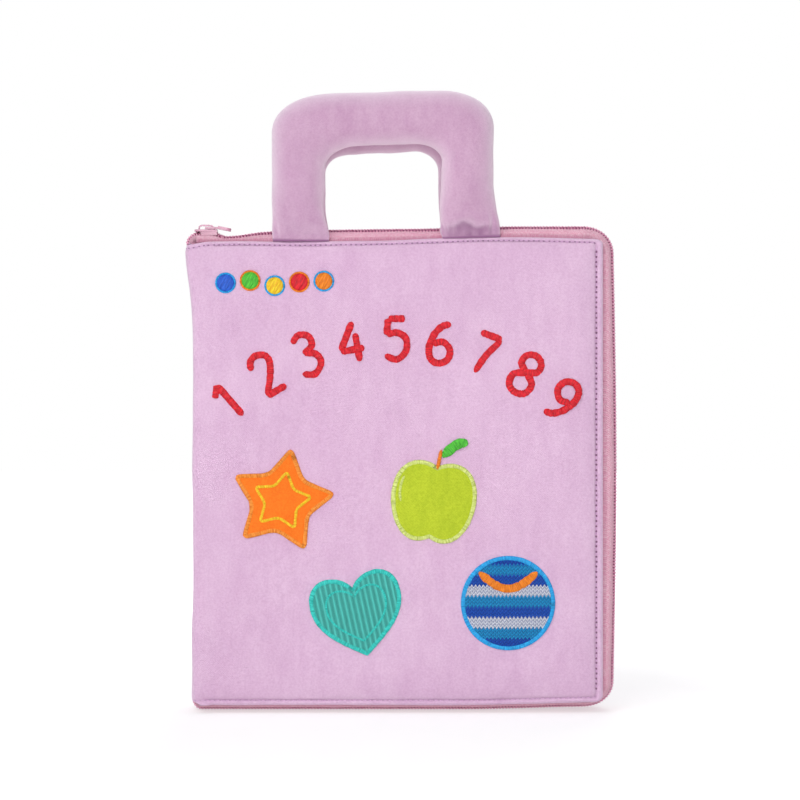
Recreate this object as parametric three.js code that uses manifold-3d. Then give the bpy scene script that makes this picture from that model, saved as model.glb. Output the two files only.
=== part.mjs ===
// A padded cloth book with carrying handles. Its covers close with a zip that runs along the top,
// down the fore edge and back along the bottom. Millimetres, +Z up, the front cover faces -Y and
// the spine is at -X. Lengths are measured from the spine's outer face (x), from the middle of the
// book's thickness (y) and from the surface that the book stands on (z).

import * as THREE from 'three';
import { mergeVertices } from 'three/addons/utils/BufferGeometryUtils.js';
import Module from 'manifold-3d';

const wasm = await Module();
wasm.setup();

// Driving dimensions of the book
const coverWidth = 226;
const coverHeight = 254.5;
const coverThickness = 7;
const coverCornerRadius = 5;
const bookThickness = 44;

// Cloth and filling
const clothThickness = 1;
const seat = 0.3; // gap between two pieces that lie on each other
const overrun = 0.4; // how far joined shapes run into each other

// Crown of a padded panel, from its edge to its flat middle
const crownReach = 20;
const crownDrop = 4;
const panelRounding = 0.25; // how much rounder each ring of the crown is than the one outside it

// Spine
const spineThickness = 6;
const spineCrownReach = 9;
const spineCrownDrop = 1.6;

// Leaves
const leafCount = 4;
const leafPitch = 7.2;
const leafThickness = 6.6;
const leafClothThickness = 0.8;
const leafEdgeGap = 4; // between a leaf's edge and the cover's
const leafBorder = 6; // flat stitched border
const leafRootBorder = 11; // flat cloth at the root, which turns beside the spine
const leafCrownReach = 9;
const leafCornerRadius = 7;
const leafPaddingEdge = 0.8; // thickness of a leaf's padding at its edge

// Binding strips that carry the leaves
const bindingBase = 0.9;
const bindingStripHeight = 2.6;
const bindingStripThickness = 1.2;
const bindingEndGap = 6;

// Zip
const zipReachTop = 6.6;
const zipReachSide = 9.6;
const zipReachBottom = 5.2;
const zipStart = 17; // from the spine's face to where the covers' own tapes begin
const zipOverhang = 2.4; // how far the zip's end at the head stands out past the spine's face
const tapeThickness = 0.7;
const tapeSeamInset = 5.7; // depth of the tape's seam behind the cover's outer face
const coilHeight = 1.8;
const coilWidth = 2.5;
const coilHalfGap = 0.7; // half the channel that the slider's divider runs in
const coilRecess = 0.5; // how far the coil stays off the standing surface
const coilCurlRadius = 0.9;
const tapeFlapWidth = 11;

// Where the tape's points lie between its seam and its inner edge, and how far out each is
const tapeAcrossShares = [0, 0.04, 0.2, 0.55, 0.8, 1];
const tapeArchShares = [0, 0.5, 0.82, 0.96, 1, 1];
const tapePressShares = [0, 0.7, 1, 1];

// Slider and pull tab
const sliderLength = 12.6;
const sliderStart = 1.2;
const sliderPlate = 1.1;
const sliderHalfWidth = 5.2;
const sliderNoseShare = 0.6;
const sliderShoulderShare = 0.28;
const sliderTailShare = 0.87;
const sliderClearance = 0.3;
const sliderFlangeWidth = 1;
const dividerLength = 4;
const dividerWidth = 0.8;
const crownLength = 8.8;
const crownHeight = 3;
const crownStrap = 0.9;
const crownWidth = 2;
const strapBendShare = 0.6;
const tabLength = 14;
const tabWidth = 5.6;
const tabThickness = 1.1;
const tongueThickness = 1.7;
const tabSideGap = 0.4;
const tabLift = 1.05; // height of the tab's bar over the slider's plate
const tabBend = 6.6; // from the tab's bar to where its tongue slopes down
const tabSlope = 0.2; // radians

// Handles
const handleWidth = 122;
const handleStart = 45; // from the spine's face to the handle's left side
const handleRise = 83.5;
const handleTube = 29;
const handleDepth = 22;
const handleOuterRadius = 25;
const handleInnerRadius = 10;
const handleRootDepth = 3;
const handleSwellHeight = 22;
const handleSeamInset = 2.4; // depth of the handle's middle plane behind the cover's outer face
const handleLegShares = [0, 0.07, 0.15, 0.25, 0.4, 0.65, 1];
const handleSides = 12;
const handlePlumpness = 0.85;

// Cloth patches on the front cover
const patchThickness = 0.8;
const starRadius = 30;
const starWaistShare = 0.55;
const starRoundShare = 0.22;
const heartWidth = 50;
const heartHeight = 48;
const heartShares = [[0, 0.28], [0.15, 0.5], [0.5, 0.5], [0.5, 0.14], [0.5, -0.16], [0.2, -0.34], [0, -0.5]];
const appleWidth = 46;
const appleHeight = 54;
const appleShares = [[0, 0.3], [0.25, 0.42], [0.5, 0.3], [0.5, 0], [0.5, -0.3], [0.28, -0.56], [0, -0.42]];
const ballRadius = 25.5;
const curveSteps = 6; // in each curve of a patch's outline
const ballSteps = 16; // in each half of the ball's outline

// Places that follow from the sizes above
const coverBottom = zipReachBottom;
const coverTop = coverBottom + coverHeight;
const faceOffset = bookThickness / 2;
const liningOffset = faceOffset - coverThickness;
const spineHalfWidth = liningOffset - seat;
const bindingBack = spineThickness + seat;
const leafRootHalf = leafClothThickness + seat / 2;
const leafRootX = bindingBack + bindingBase + bindingStripHeight + seat + leafRootHalf;
const seamOffset = faceOffset - tapeSeamInset;
const bookWidth = zipOverhang + coverWidth + zipReachSide;

// Colours
const lilac = 0xe4c4e2;
const lilacLining = 0xdcb8d8;
const rose = 0xd49bb2;
const darkRose = 0xa5607e;
const wadding = 0xf2eff0;
const orange = 0xf28c1e;
const teal = 0x3fb9a6;
const lime = 0xb9cf3a;
const blue = 0x2f7fd0;

function material(color, roughness, metalness = 0) {
  return new THREE.MeshStandardMaterial({ color, roughness, metalness });
}

function named(name, geometry, meshMaterial) {
  const mesh = new THREE.Mesh(geometry, meshMaterial);
  mesh.name = name;
  return mesh;
}

const cloth = (color) => material(color, 0.9);

function lerp(from, to, share) {
  return from + (to - from) * share;
}

function smooth(share) {
  const t = Math.min(Math.max(share, 0), 1);
  return t * t * (3 - 2 * t);
}

// Closed meshes

function signedVolume(points, faces) {
  let volume = 0;
  for (const [a, b, c] of faces) {
    volume += points[a].dot(points[b].clone().cross(points[c]));
  }
  return volume;
}

function closedGeometry(points, faces) {
  const inward = signedVolume(points, faces) < 0;
  const index = faces.flatMap(([a, b, c]) => (inward ? [a, c, b] : [a, b, c]));
  const geometry = new THREE.BufferGeometry().setFromPoints(points);
  geometry.setIndex(index);
  return geometry;
}

// Joins rings of equally many points, either closed at both ends by caps or back on itself.
// capOutline gives the ring's shape in its own plane, for the caps.
function loft(rings, capOutline) {
  const size = rings[0].length;
  const faces = [];
  const joins = capOutline ? rings.length - 1 : rings.length;
  for (let r = 0; r < joins; r += 1) {
    const here = r * size;
    const next = ((r + 1) % rings.length) * size;
    for (let k = 0; k < size; k += 1) {
      const after = (k + 1) % size;
      faces.push([here + k, here + after, next + after], [here + k, next + after, next + k]);
    }
  }
  if (capOutline) {
    const last = (rings.length - 1) * size;
    for (const [a, b, c] of THREE.ShapeUtils.triangulateShape(capOutline, [])) {
      const turned = THREE.ShapeUtils.isClockWise(capOutline);
      const cap = turned ? [a, b, c] : [a, c, b];
      faces.push(cap, [cap[0] + last, cap[2] + last, cap[1] + last]);
    }
  }
  return closedGeometry(rings.flat(), faces);
}

function solidOf(geometry) {
  const bare = geometry.clone();
  bare.deleteAttribute('normal');
  bare.deleteAttribute('uv');
  const merged = mergeVertices(bare);
  return new wasm.Manifold(new wasm.Mesh({
    numProp: 3,
    vertProperties: new Float32Array(merged.attributes.position.array),
    triVerts: new Uint32Array(merged.index.array),
  }));
}

function joined(geometries) {
  const [first, ...others] = geometries.map(solidOf);
  const mesh = others.reduce((whole, part) => whole.add(part), first).getMesh();
  const geometry = new THREE.BufferGeometry();
  geometry.setAttribute('position', new THREE.BufferAttribute(mesh.vertProperties, 3));
  geometry.setIndex(new THREE.BufferAttribute(mesh.triVerts, 1));
  return geometry;
}

// Padded panels: rings of a rounded rectangle, each with its inset from the edge and its depth

function roundedRectangle({ left, right, bottom, top }, radius, cornerSteps) {
  const centres = [
    [right - radius, top - radius],
    [left + radius, top - radius],
    [left + radius, bottom + radius],
    [right - radius, bottom + radius],
  ];
  const points = [];
  centres.forEach(([u, v], corner) => {
    for (let step = 0; step <= cornerSteps; step += 1) {
      const angle = (corner + step / cornerSteps) * Math.PI / 2;
      points.push(new THREE.Vector2(u + radius * Math.cos(angle), v + radius * Math.sin(angle)));
    }
  });
  return points;
}

function insetRectangle(edge, inset) {
  return {
    left: edge.left + inset,
    right: edge.right - inset,
    bottom: edge.bottom + inset,
    top: edge.top - inset,
  };
}

// From the flat middle out to the edge, for a surface that lies a given offset inside the skin
function crownProfile(reach, drop, offset, steps) {
  const profile = [];
  for (let step = 0; step <= steps; step += 1) {
    const t = step / steps;
    profile.push({ inset: offset + (reach - offset) * (1 - t) ** 2, depth: offset + drop * t * t });
  }
  return profile;
}

function panel(edge, radius, profile, place, cornerSteps) {
  const outlines = profile.map(({ inset }) => roundedRectangle(
    insetRectangle(edge, inset), radius + inset * panelRounding, cornerSteps,
  ));
  const rings = outlines.map((outline, r) => outline.map((p) => place(p.x, p.y, profile[r].depth)));
  return loft(rings, outlines[0]);
}

// Cloth, padding and lining of one padded panel, from its skin inwards
function paddedPanel({ edge, radius, thickness, reach, drop, place, steps, cornerSteps }) {
  const outer = crownProfile(reach, drop, 0, steps);
  const inner = crownProfile(reach, drop, clothThickness, steps).reverse();
  const liningDepth = thickness - clothThickness;
  const fillInset = clothThickness + seat;
  const make = (profile) => panel(edge, radius, profile, place, cornerSteps);
  return {
    cloth: make([
      ...outer,
      { inset: 0, depth: thickness },
      { inset: clothThickness, depth: thickness },
      ...inner,
    ]),
    padding: make([
      ...crownProfile(reach, drop, fillInset, steps),
      { inset: fillInset, depth: liningDepth - seat },
    ]),
    lining: make([
      { inset: fillInset, depth: liningDepth },
      { inset: fillInset, depth: thickness },
    ]),
  };
}

function coverPieces(name, side) {
  const pieces = paddedPanel({
    edge: { left: 0, right: coverWidth, bottom: coverBottom, top: coverTop },
    radius: coverCornerRadius,
    thickness: coverThickness,
    reach: crownReach,
    drop: crownDrop,
    place: (u, v, depth) => new THREE.Vector3(u, side * (faceOffset - depth), v),
    steps: 4,
    cornerSteps: 4,
  });
  return [
    named(`${name}_cloth`, pieces.cloth, cloth(lilac)),
    named(`${name}_padding`, pieces.padding, cloth(wadding)),
    named(`${name}_lining`, pieces.lining, cloth(lilacLining)),
  ];
}

function spinePieces() {
  const pieces = paddedPanel({
    edge: { left: -spineHalfWidth, right: spineHalfWidth, bottom: coverBottom, top: coverTop },
    radius: clothThickness + seat,
    thickness: spineThickness,
    reach: spineCrownReach,
    drop: spineCrownDrop,
    place: (u, v, depth) => new THREE.Vector3(depth, u, v),
    steps: 3,
    cornerSteps: 2,
  });
  return [
    named('spine_cloth', pieces.cloth, cloth(lilac)),
    named('spine_padding', pieces.padding, cloth(wadding)),
    named('spine_lining', pieces.lining, cloth(lilacLining)),
  ];
}

// Middle plane of each leaf, from the front cover to the back one
function leafOffset(number) {
  return (number - (leafCount - 1) / 2) * leafPitch;
}

// One strip of binding cloth, pleated into a rib for each leaf
function pageBinding() {
  const half = leafOffset(leafCount - 1) + bindingStripThickness;
  const front = bindingBack + bindingBase;
  const outline = new THREE.Shape();
  outline.moveTo(bindingBack, -half);
  outline.lineTo(front, -half);
  for (let leaf = 0; leaf < leafCount; leaf += 1) {
    const low = leafOffset(leaf) - bindingStripThickness / 2;
    const high = leafOffset(leaf) + bindingStripThickness / 2;
    outline.lineTo(front, low);
    outline.lineTo(front + bindingStripHeight, low);
    outline.lineTo(front + bindingStripHeight, high);
    outline.lineTo(front, high);
  }
  outline.lineTo(front, half);
  outline.lineTo(bindingBack, half);
  const length = coverHeight - 2 * bindingEndGap;
  const strip = new THREE.ExtrudeGeometry(outline, { depth: length, bevelEnabled: false });
  return named('page_binding', strip.translate(0, 0, coverBottom + bindingEndGap), cloth(lilacLining));
}

// A ring of a leaf: its distance from the middle plane, and its inset inside the stitched border.
// The cloth's outermost rings are rounded at the root, so that the leaf turns about that line.
function leafRing(side, inset, height, cornerSteps) {
  const rootInset = inset > 0 ? inset + leafRootBorder - leafBorder : 0;
  const rounding = inset > 0 ? 0 : Math.sqrt(leafRootHalf ** 2 - height ** 2);
  const edge = {
    left: rootInset - rounding,
    right: coverWidth - leafEdgeGap - leafRootX - inset,
    bottom: coverBottom + leafEdgeGap + inset,
    top: coverTop - leafEdgeGap - inset,
  };
  const outline = roundedRectangle(edge, leafCornerRadius, cornerSteps);
  return outline.map((p) => new THREE.Vector3(p.x, side * height, p.y));
}

function leafCap(cornerSteps) {
  return leafRing(1, 0, 0, cornerSteps).map((p) => new THREE.Vector2(p.x, p.z));
}

function leafCrown(edgeInset, edgeHeight, middleHeight, steps) {
  const crown = [];
  for (let step = 0; step <= steps; step += 1) {
    const t = step / steps;
    crown.push({
      inset: edgeInset + leafCrownReach * (1 - t) ** 2,
      height: lerp(middleHeight, edgeHeight, t * t),
    });
  }
  return crown;
}

function leafCloth(side) {
  const steps = 3;
  const cornerSteps = 2;
  const half = leafThickness / 2;
  const innerHalf = seat / 2;
  const outer = leafCrown(leafBorder, leafRootHalf, half, steps);
  const innerInset = leafBorder + leafClothThickness;
  const inner = leafCrown(innerInset, innerHalf, half - leafClothThickness, steps).reverse();
  const rims = [leafRootHalf, leafRootHalf - leafClothThickness / 2, innerHalf];
  const profile = [...outer, ...rims.map((height) => ({ inset: 0, height })), ...inner];
  const rings = profile.map(({ inset, height }) => leafRing(side, inset, height, cornerSteps));
  return loft(rings, leafCap(cornerSteps));
}

function leafPadding() {
  const steps = 3;
  const cornerSteps = 2;
  const edgeInset = leafBorder + 2 * leafClothThickness + seat;
  const middle = leafThickness / 2 - leafClothThickness - seat;
  const crown = leafCrown(edgeInset, leafPaddingEdge / 2, middle, steps);
  const front = crown.map(({ inset, height }) => leafRing(-1, inset, height, cornerSteps));
  const back = crown.map(({ inset, height }) => leafRing(1, inset, height, cornerSteps)).reverse();
  return loft([...front, ...back], leafCap(cornerSteps));
}

function leafGroup(number) {
  const group = new THREE.Group();
  group.position.set(leafRootX, leafOffset(number), 0);
  const name = `leaf_${number + 1}`;
  group.add(
    named(`${name}_front_cloth`, leafCloth(-1), cloth(lilac)),
    named(`${name}_padding`, leafPadding(), cloth(wadding)),
    named(`${name}_back_cloth`, leafCloth(1), cloth(lilac)),
  );
  return group;
}

// Zip: a station of its route has a place on the cover's edge, the way out from that edge, how far
// the zip reaches out there and how much it is pressed flat by the surface that the book stands on

function ledgeOut(station) {
  return station.reach - coilHeight - seat - coilRecess * station.press;
}

function tapeSection(station) {
  const ledge = ledgeOut(station);
  const skin = tapeAcrossShares.map((across, k) => {
    const arched = lerp(seat, ledge, tapeArchShares[k]);
    const pressed = k < tapePressShares.length ? lerp(seat, station.reach, tapePressShares[k]) : ledge;
    const y = lerp(seamOffset, coilHalfGap, across);
    return new THREE.Vector2(lerp(arched, pressed, station.press), y);
  });
  const back = skin.map((point, k) => {
    const before = skin[Math.max(k - 1, 0)];
    const after = skin[Math.min(k + 1, skin.length - 1)];
    const along = after.clone().sub(before).normalize();
    return new THREE.Vector2(point.x + along.y * tapeThickness, point.y - along.x * tapeThickness);
  });
  return [...skin, ...back.reverse()];
}

function coilSection(station) {
  const low = ledgeOut(station) + seat;
  const high = low + coilHeight;
  const near = coilHalfGap;
  const far = coilHalfGap + coilWidth;
  return [[low, near], [high, near], [high, far], [low, far]].map(([x, y]) => new THREE.Vector2(x, y));
}

function sweep(stations, section, side) {
  const outlines = stations.map(section);
  const rings = stations.map(({ x, z, outX, outZ }, s) => outlines[s].map((p) => (
    new THREE.Vector3(x + outX * p.x, side * p.y, z + outZ * p.x)
  )));
  return loft(rings, outlines[0]);
}

function run(from, to, steps, shared) {
  const stations = [];
  for (let step = 0; step <= steps; step += 1) {
    const share = step / steps;
    stations.push({ ...shared, x: lerp(from.x, to.x, share), z: lerp(from.z, to.z, share) });
  }
  return stations;
}

function corner(centre, startAngle, endAngle, steps, start, end) {
  const stations = [];
  for (let step = 1; step < steps; step += 1) {
    const share = step / steps;
    const angle = lerp(startAngle, endAngle, share);
    const outX = Math.cos(angle);
    const outZ = Math.sin(angle);
    stations.push({
      x: centre.x + coverCornerRadius * outX,
      z: centre.z + coverCornerRadius * outZ,
      outX,
      outZ,
      reach: lerp(start.reach, end.reach, smooth(share)),
      press: lerp(start.press, end.press, smooth(share)),
    });
  }
  return stations;
}

const topEdge = { outX: 0, outZ: 1, reach: zipReachTop, press: 0, endX: -zipOverhang };
const foreEdge = { outX: 1, outZ: 0, reach: zipReachSide, press: 0 };
const bottomEdge = { outX: 0, outZ: -1, reach: zipReachBottom, press: 1, endX: 0 };

function coverZipRoute() {
  const right = coverWidth - coverCornerRadius;
  const high = coverTop - coverCornerRadius;
  const low = coverBottom + coverCornerRadius;
  const quarter = Math.PI / 2;
  const cornerSteps = 6;
  return [
    ...run({ x: zipStart, z: coverTop }, { x: right, z: coverTop }, 3, topEdge),
    ...corner({ x: right, z: high }, quarter, 0, cornerSteps, topEdge, foreEdge),
    ...run({ x: coverWidth, z: high }, { x: coverWidth, z: low }, 2, foreEdge),
    ...corner({ x: right, z: low }, 0, -quarter, cornerSteps, foreEdge, bottomEdge),
    ...run({ x: right, z: coverBottom }, { x: zipStart, z: coverBottom }, 3, bottomEdge),
  ];
}

function coverZip(name, side) {
  const route = coverZipRoute();
  return [
    named(`${name}_zip_tape`, sweep(route, tapeSection, side), cloth(rose)),
    named(`${name}_zip_coil`, sweep(route, coilSection, side), material(darkRose, 0.5)),
  ];
}

// The zip's end beside the spine: the tape's end is folded down and the coil curls round it
function tapeEnd(side, edge, edgeZ) {
  const start = edge.endX + coilHeight + seat;
  const flat = run({ x: start, z: edgeZ }, { x: zipStart - seat, z: edgeZ }, 1, edge);
  const foot = edgeZ + edge.outZ * seat;
  const head = edgeZ + edge.outZ * (ledgeOut(edge) - tapeThickness / 2);
  const flap = new THREE.BoxGeometry(tapeThickness, tapeFlapWidth, Math.abs(head - foot)).translate(
    start + tapeThickness / 2,
    side * (coilHalfGap + tapeFlapWidth / 2),
    (head + foot) / 2,
  );
  return joined([sweep(flat, tapeSection, side), flap]);
}

function coilEnd(side, edge, edgeZ) {
  const low = ledgeOut(edge) + seat;
  const curlX = edge.endX + coilHeight + coilCurlRadius;
  const curlZ = edgeZ + edge.outZ * (low - coilCurlRadius);
  const toBase = coilCurlRadius - low;
  const curlSteps = 4;
  const route = [{ ...edge, x: zipStart - seat, z: edgeZ }];
  for (let step = 0; step <= curlSteps; step += 1) {
    const angle = (step / curlSteps) * Math.PI / 2;
    const outX = -Math.sin(angle);
    const outZ = edge.outZ * Math.cos(angle);
    route.push({ ...edge, outX, outZ, x: curlX + outX * toBase, z: curlZ + outZ * toBase });
  }
  route.push({ ...edge, outX: -1, outZ: 0, x: curlX - toBase, z: edgeZ + edge.outZ * seat });
  return sweep(route, coilSection, side);
}

function zipEndPieces(place, edge, edgeZ) {
  return [['front', -1], ['back', 1]].flatMap(([face, side]) => [
    named(`zip_${place}_tape_${face}`, tapeEnd(side, edge, edgeZ), cloth(rose)),
    named(`zip_${place}_coil_${face}`, coilEnd(side, edge, edgeZ), material(darkRose, 0.5)),
  ]);
}

// Slider: two plates joined by the divider, with flanges beside the coils and a strap for the tab

const sliderUnder = ledgeOut(topEdge) - tapeThickness - sliderClearance;
const sliderOver = zipReachTop + sliderClearance;

function sliderPlateOutline() {
  const nose = sliderHalfWidth * sliderNoseShare;
  const tail = sliderHalfWidth * sliderTailShare;
  const shoulder = sliderLength * sliderShoulderShare;
  const shape = new THREE.Shape();
  shape.moveTo(0, -nose);
  shape.quadraticCurveTo(0, -sliderHalfWidth, shoulder, -sliderHalfWidth);
  shape.lineTo(sliderLength, -tail);
  shape.lineTo(sliderLength, tail);
  shape.lineTo(shoulder, sliderHalfWidth);
  shape.quadraticCurveTo(0, sliderHalfWidth, 0, nose);
  return shape;
}

function sliderStrap() {
  const half = crownLength / 2;
  const inner = half - crownStrap;
  const height = crownHeight + overrun;
  const strap = new THREE.Shape();
  strap.moveTo(-half, 0);
  strap.bezierCurveTo(-half, height * strapBendShare, -half, height, -inner / 2, height);
  strap.lineTo(inner / 2, height);
  strap.bezierCurveTo(half, height, half, height * strapBendShare, half, 0);
  strap.lineTo(inner, 0);
  strap.lineTo(inner, height * strapBendShare);
  strap.lineTo(inner * strapBendShare, height - crownStrap);
  strap.lineTo(-inner * strapBendShare, height - crownStrap);
  strap.lineTo(-inner, height * strapBendShare);
  strap.lineTo(-inner, 0);
  const flat = { depth: crownWidth, bevelEnabled: false, curveSegments: 4 };
  return new THREE.ExtrudeGeometry(strap, flat)
    .rotateX(Math.PI / 2)
    .translate(sliderLength / 2, crownWidth / 2, sliderOver + sliderPlate - overrun);
}

function sliderBody() {
  const flat = { depth: sliderPlate, bevelEnabled: false, curveSegments: 5 };
  const under = new THREE.ExtrudeGeometry(sliderPlateOutline(), flat)
    .translate(0, 0, sliderUnder - sliderPlate);
  const over = new THREE.ExtrudeGeometry(sliderPlateOutline(), flat).translate(0, 0, sliderOver);
  const flangeLow = ledgeOut(topEdge) + sliderClearance;
  const flangeHeight = sliderOver - flangeLow + overrun;
  const flangeNear = coilHalfGap + coilWidth + sliderClearance;
  const flangeStart = sliderLength * sliderShoulderShare;
  const flanges = [-1, 1].map((side) => new THREE.BoxGeometry(
    sliderLength - flangeStart, sliderFlangeWidth, flangeHeight,
  ).translate(
    (sliderLength + flangeStart) / 2,
    side * (flangeNear + sliderFlangeWidth / 2),
    flangeLow + flangeHeight / 2,
  ));
  const dividerHeight = sliderOver - sliderUnder + 2 * overrun;
  const divider = new THREE.BoxGeometry(dividerLength, dividerWidth, dividerHeight).translate(
    (sliderPlate + dividerLength) / 2,
    0,
    (sliderOver + sliderUnder) / 2,
  );
  return joined([under, over, ...flanges, divider, sliderStrap()]);
}

// A flat ring round the strap, with a tongue that slopes down past the slider's end
function pullTab() {
  const bar = tabThickness / 2;
  const half = tabWidth / 2;
  const hole = crownWidth / 2 + tabSideGap;
  const holeEnd = crownLength / 2 + tabSideGap;
  const flat = { depth: tabThickness, bevelEnabled: false, curveSegments: 8 };
  const ring = new THREE.Shape();
  ring.moveTo(-bar, -half);
  ring.lineTo(tabBend + overrun, -half);
  ring.lineTo(tabBend + overrun, half);
  ring.lineTo(-bar, half);
  const opening = new THREE.Path();
  opening.moveTo(bar, -hole);
  opening.lineTo(bar, hole);
  opening.lineTo(holeEnd, hole);
  opening.lineTo(holeEnd, -hole);
  ring.holes.push(opening);
  const tongue = new THREE.Shape();
  tongue.moveTo(0, -half);
  tongue.lineTo(tabLength - tabBend - half, -half);
  tongue.absarc(tabLength - tabBend - half, 0, half, -Math.PI / 2, Math.PI / 2);
  tongue.lineTo(0, half);
  const sloped = new THREE.ExtrudeGeometry(tongue, { ...flat, depth: tongueThickness })
    .translate(0, 0, -bar)
    .rotateY(tabSlope)
    .translate(tabBend, 0, 0);
  return joined([new THREE.ExtrudeGeometry(ring, flat).translate(0, 0, -bar), sloped]);
}

function sliderGroup() {
  const paint = material(rose, 0.35, 0.3);
  const group = new THREE.Group();
  group.position.set(sliderStart, 0, coverTop);
  const tab = named('pull_tab', pullTab(), paint);
  tab.position.set(sliderLength / 2, 0, sliderOver + sliderPlate + tabLift);
  group.add(named('slider_body', sliderBody(), paint), tab);
  return group;
}

// Handle: a stuffed tube bent to an arch. Each station has a point on the arch's outer side, one on
// its inner side and its height over the seam.

function handleSide() {
  const left = handleStart;
  const topZ = coverTop + handleRise;
  const root = coverTop + seat;
  const outer = { x: left + handleOuterRadius, z: topZ - handleOuterRadius };
  const inner = {
    x: left + handleTube + handleInnerRadius,
    z: topZ - handleTube - handleInnerRadius,
  };
  const stations = handleLegShares.map((share) => ({
    outer: new THREE.Vector2(left, lerp(root, outer.z, share)),
    inner: new THREE.Vector2(left + handleTube, lerp(root, inner.z, share)),
  }));
  const cornerSteps = 5;
  for (let step = 1; step <= cornerSteps; step += 1) {
    const angle = Math.PI * (1 - step / cornerSteps / 2);
    const out = new THREE.Vector2(Math.cos(angle), Math.sin(angle));
    stations.push({
      outer: new THREE.Vector2(outer.x, outer.z).addScaledVector(out, handleOuterRadius),
      inner: new THREE.Vector2(inner.x, inner.z).addScaledVector(out, handleInnerRadius),
    });
  }
  return stations;
}

function handleStations() {
  const left = handleSide();
  const mirrorX = 2 * handleStart + handleWidth;
  const turned = (point) => new THREE.Vector2(mirrorX - point.x, point.y);
  const right = left.map(({ outer, inner }) => ({ outer: turned(outer), inner: turned(inner) }));
  return [...left, ...right.reverse()];
}

// The tube's section at a station, drawn in from its skin by an offset
function handleRing({ outer, inner }, offset, side) {
  const middle = outer.clone().add(inner).multiplyScalar(0.5);
  const across = outer.clone().sub(inner);
  const halfWidth = across.length() / 2 - offset;
  across.normalize();
  const swell = smooth((middle.y - coverTop - seat) / handleSwellHeight);
  const halfDepth = lerp(handleRootDepth, handleDepth, swell) / 2 - offset;
  const middleY = side * (faceOffset - handleSeamInset);
  const ring = [];
  for (let k = 0; k < handleSides; k += 1) {
    const angle = (k / handleSides) * Math.PI * 2;
    const plump = (value) => Math.sign(value) * Math.abs(value) ** handlePlumpness;
    const wide = plump(Math.cos(angle)) * halfWidth;
    const deep = plump(Math.sin(angle)) * halfDepth;
    ring.push(new THREE.Vector3(middle.x + across.x * wide, middleY + deep, middle.y + across.y * wide));
  }
  return ring;
}

function handlePieces(name, side) {
  const stations = handleStations();
  const skin = stations.map((station) => handleRing(station, 0, side));
  const inside = stations.map((station) => handleRing(station, clothThickness, side)).reverse();
  const fillOffset = clothThickness + seat;
  const fill = stations.map((station) => handleRing(station, fillOffset, side)).reverse();
  const capOutline = fill[0].map((p) => new THREE.Vector2(p.x, p.y));
  return [
    named(`${name}_cloth`, loft([...skin, ...inside]), cloth(lilac)),
    named(`${name}_stuffing`, loft(fill, capOutline), cloth(wadding)),
  ];
}

// Cloth patches: plain shapes sewn on the front cover

function starShape() {
  const shape = new THREE.Shape();
  const corners = 10;
  const at = (k) => {
    const radius = k % 2 === 0 ? starRadius : starRadius * starWaistShare;
    const angle = Math.PI / 2 + (k / corners) * Math.PI * 2;
    return new THREE.Vector2(radius * Math.cos(angle), radius * Math.sin(angle));
  };
  for (let k = 0; k < corners; k += 1) {
    const tip = at(k);
    const before = tip.clone().lerp(at(k - 1), starRoundShare);
    const after = tip.clone().lerp(at(k + 1), starRoundShare);
    if (k === 0) shape.moveTo(before.x, before.y);
    else shape.lineTo(before.x, before.y);
    shape.quadraticCurveTo(tip.x, tip.y, after.x, after.y);
  }
  return shape;
}

// A shape with a right half of two curves, from its top to its bottom, and the same half mirrored
function mirroredShape(width, height, halfShares) {
  const right = halfShares.map(([u, v]) => [u * width, v * height]);
  const left = right.map(([x, y]) => [-x, y]).reverse();
  const shape = new THREE.Shape();
  shape.moveTo(...right[0]);
  for (const half of [right, left]) {
    shape.bezierCurveTo(...half[1], ...half[2], ...half[3]);
    shape.bezierCurveTo(...half[4], ...half[5], ...half[6]);
  }
  return shape;
}

function ballShape() {
  return new THREE.Shape().absarc(0, 0, ballRadius, 0, Math.PI * 2);
}

function patch(name, shape, { acrossShare, upShare, turn }, color, curveSegments = curveSteps) {
  const flat = { depth: patchThickness, bevelEnabled: false, curveSegments };
  const geometry = new THREE.ExtrudeGeometry(shape, flat).rotateX(Math.PI / 2);
  const mesh = named(name, geometry, cloth(color));
  mesh.position.set(
    coverWidth * acrossShare,
    -faceOffset - seat,
    coverBottom + coverHeight * upShare,
  );
  mesh.rotation.y = turn;
  return mesh;
}

function patches() {
  const heart = mirroredShape(heartWidth, heartHeight, heartShares);
  const apple = mirroredShape(appleWidth, appleHeight, appleShares);
  return [
    patch('star_patch', starShape(), { acrossShare: 0.225, upShare: 0.44, turn: 0.18 }, orange),
    patch('heart_patch', heart, { acrossShare: 0.41, upShare: 0.2, turn: -0.22 }, teal),
    patch('apple_patch', apple, { acrossShare: 0.595, upShare: 0.45, turn: 0.12 }, lime),
    patch('ball_patch', ballShape(), { acrossShare: 0.775, upShare: 0.22, turn: 0 }, blue, ballSteps),
  ];
}

// The whole book, one group for each part of it that moves

function groupOf(meshes) {
  return new THREE.Group().add(...meshes);
}

const book = new THREE.Group();
book.position.x = zipOverhang - bookWidth / 2;
book.add(
  groupOf([
    ...spinePieces(),
    pageBinding(),
    ...zipEndPieces('head', topEdge, coverTop),
    ...zipEndPieces('foot', bottomEdge, coverBottom),
  ]),
  groupOf([...coverPieces('front_cover', -1), ...coverZip('front', -1), ...patches()]),
  groupOf([...coverPieces('back_cover', 1), ...coverZip('back', 1)]),
  groupOf(handlePieces('front_handle', -1)),
  groupOf(handlePieces('rear_handle', 1)),
  sliderGroup(),
);
for (let leaf = 0; leaf < leafCount; leaf += 1) book.add(leafGroup(leaf));

export default book;
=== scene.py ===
"""Padded cloth book with two stuffed handles and a zip round three of its edges.

Lengths are in millimetres, measured as on the book itself: x from the spine's outer face, y from the
middle of the thickness, with the front cover at -y, and z from the surface that the book stands on.
place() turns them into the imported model's metres.
"""

import math

import bpy
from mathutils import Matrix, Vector, noise


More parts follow.
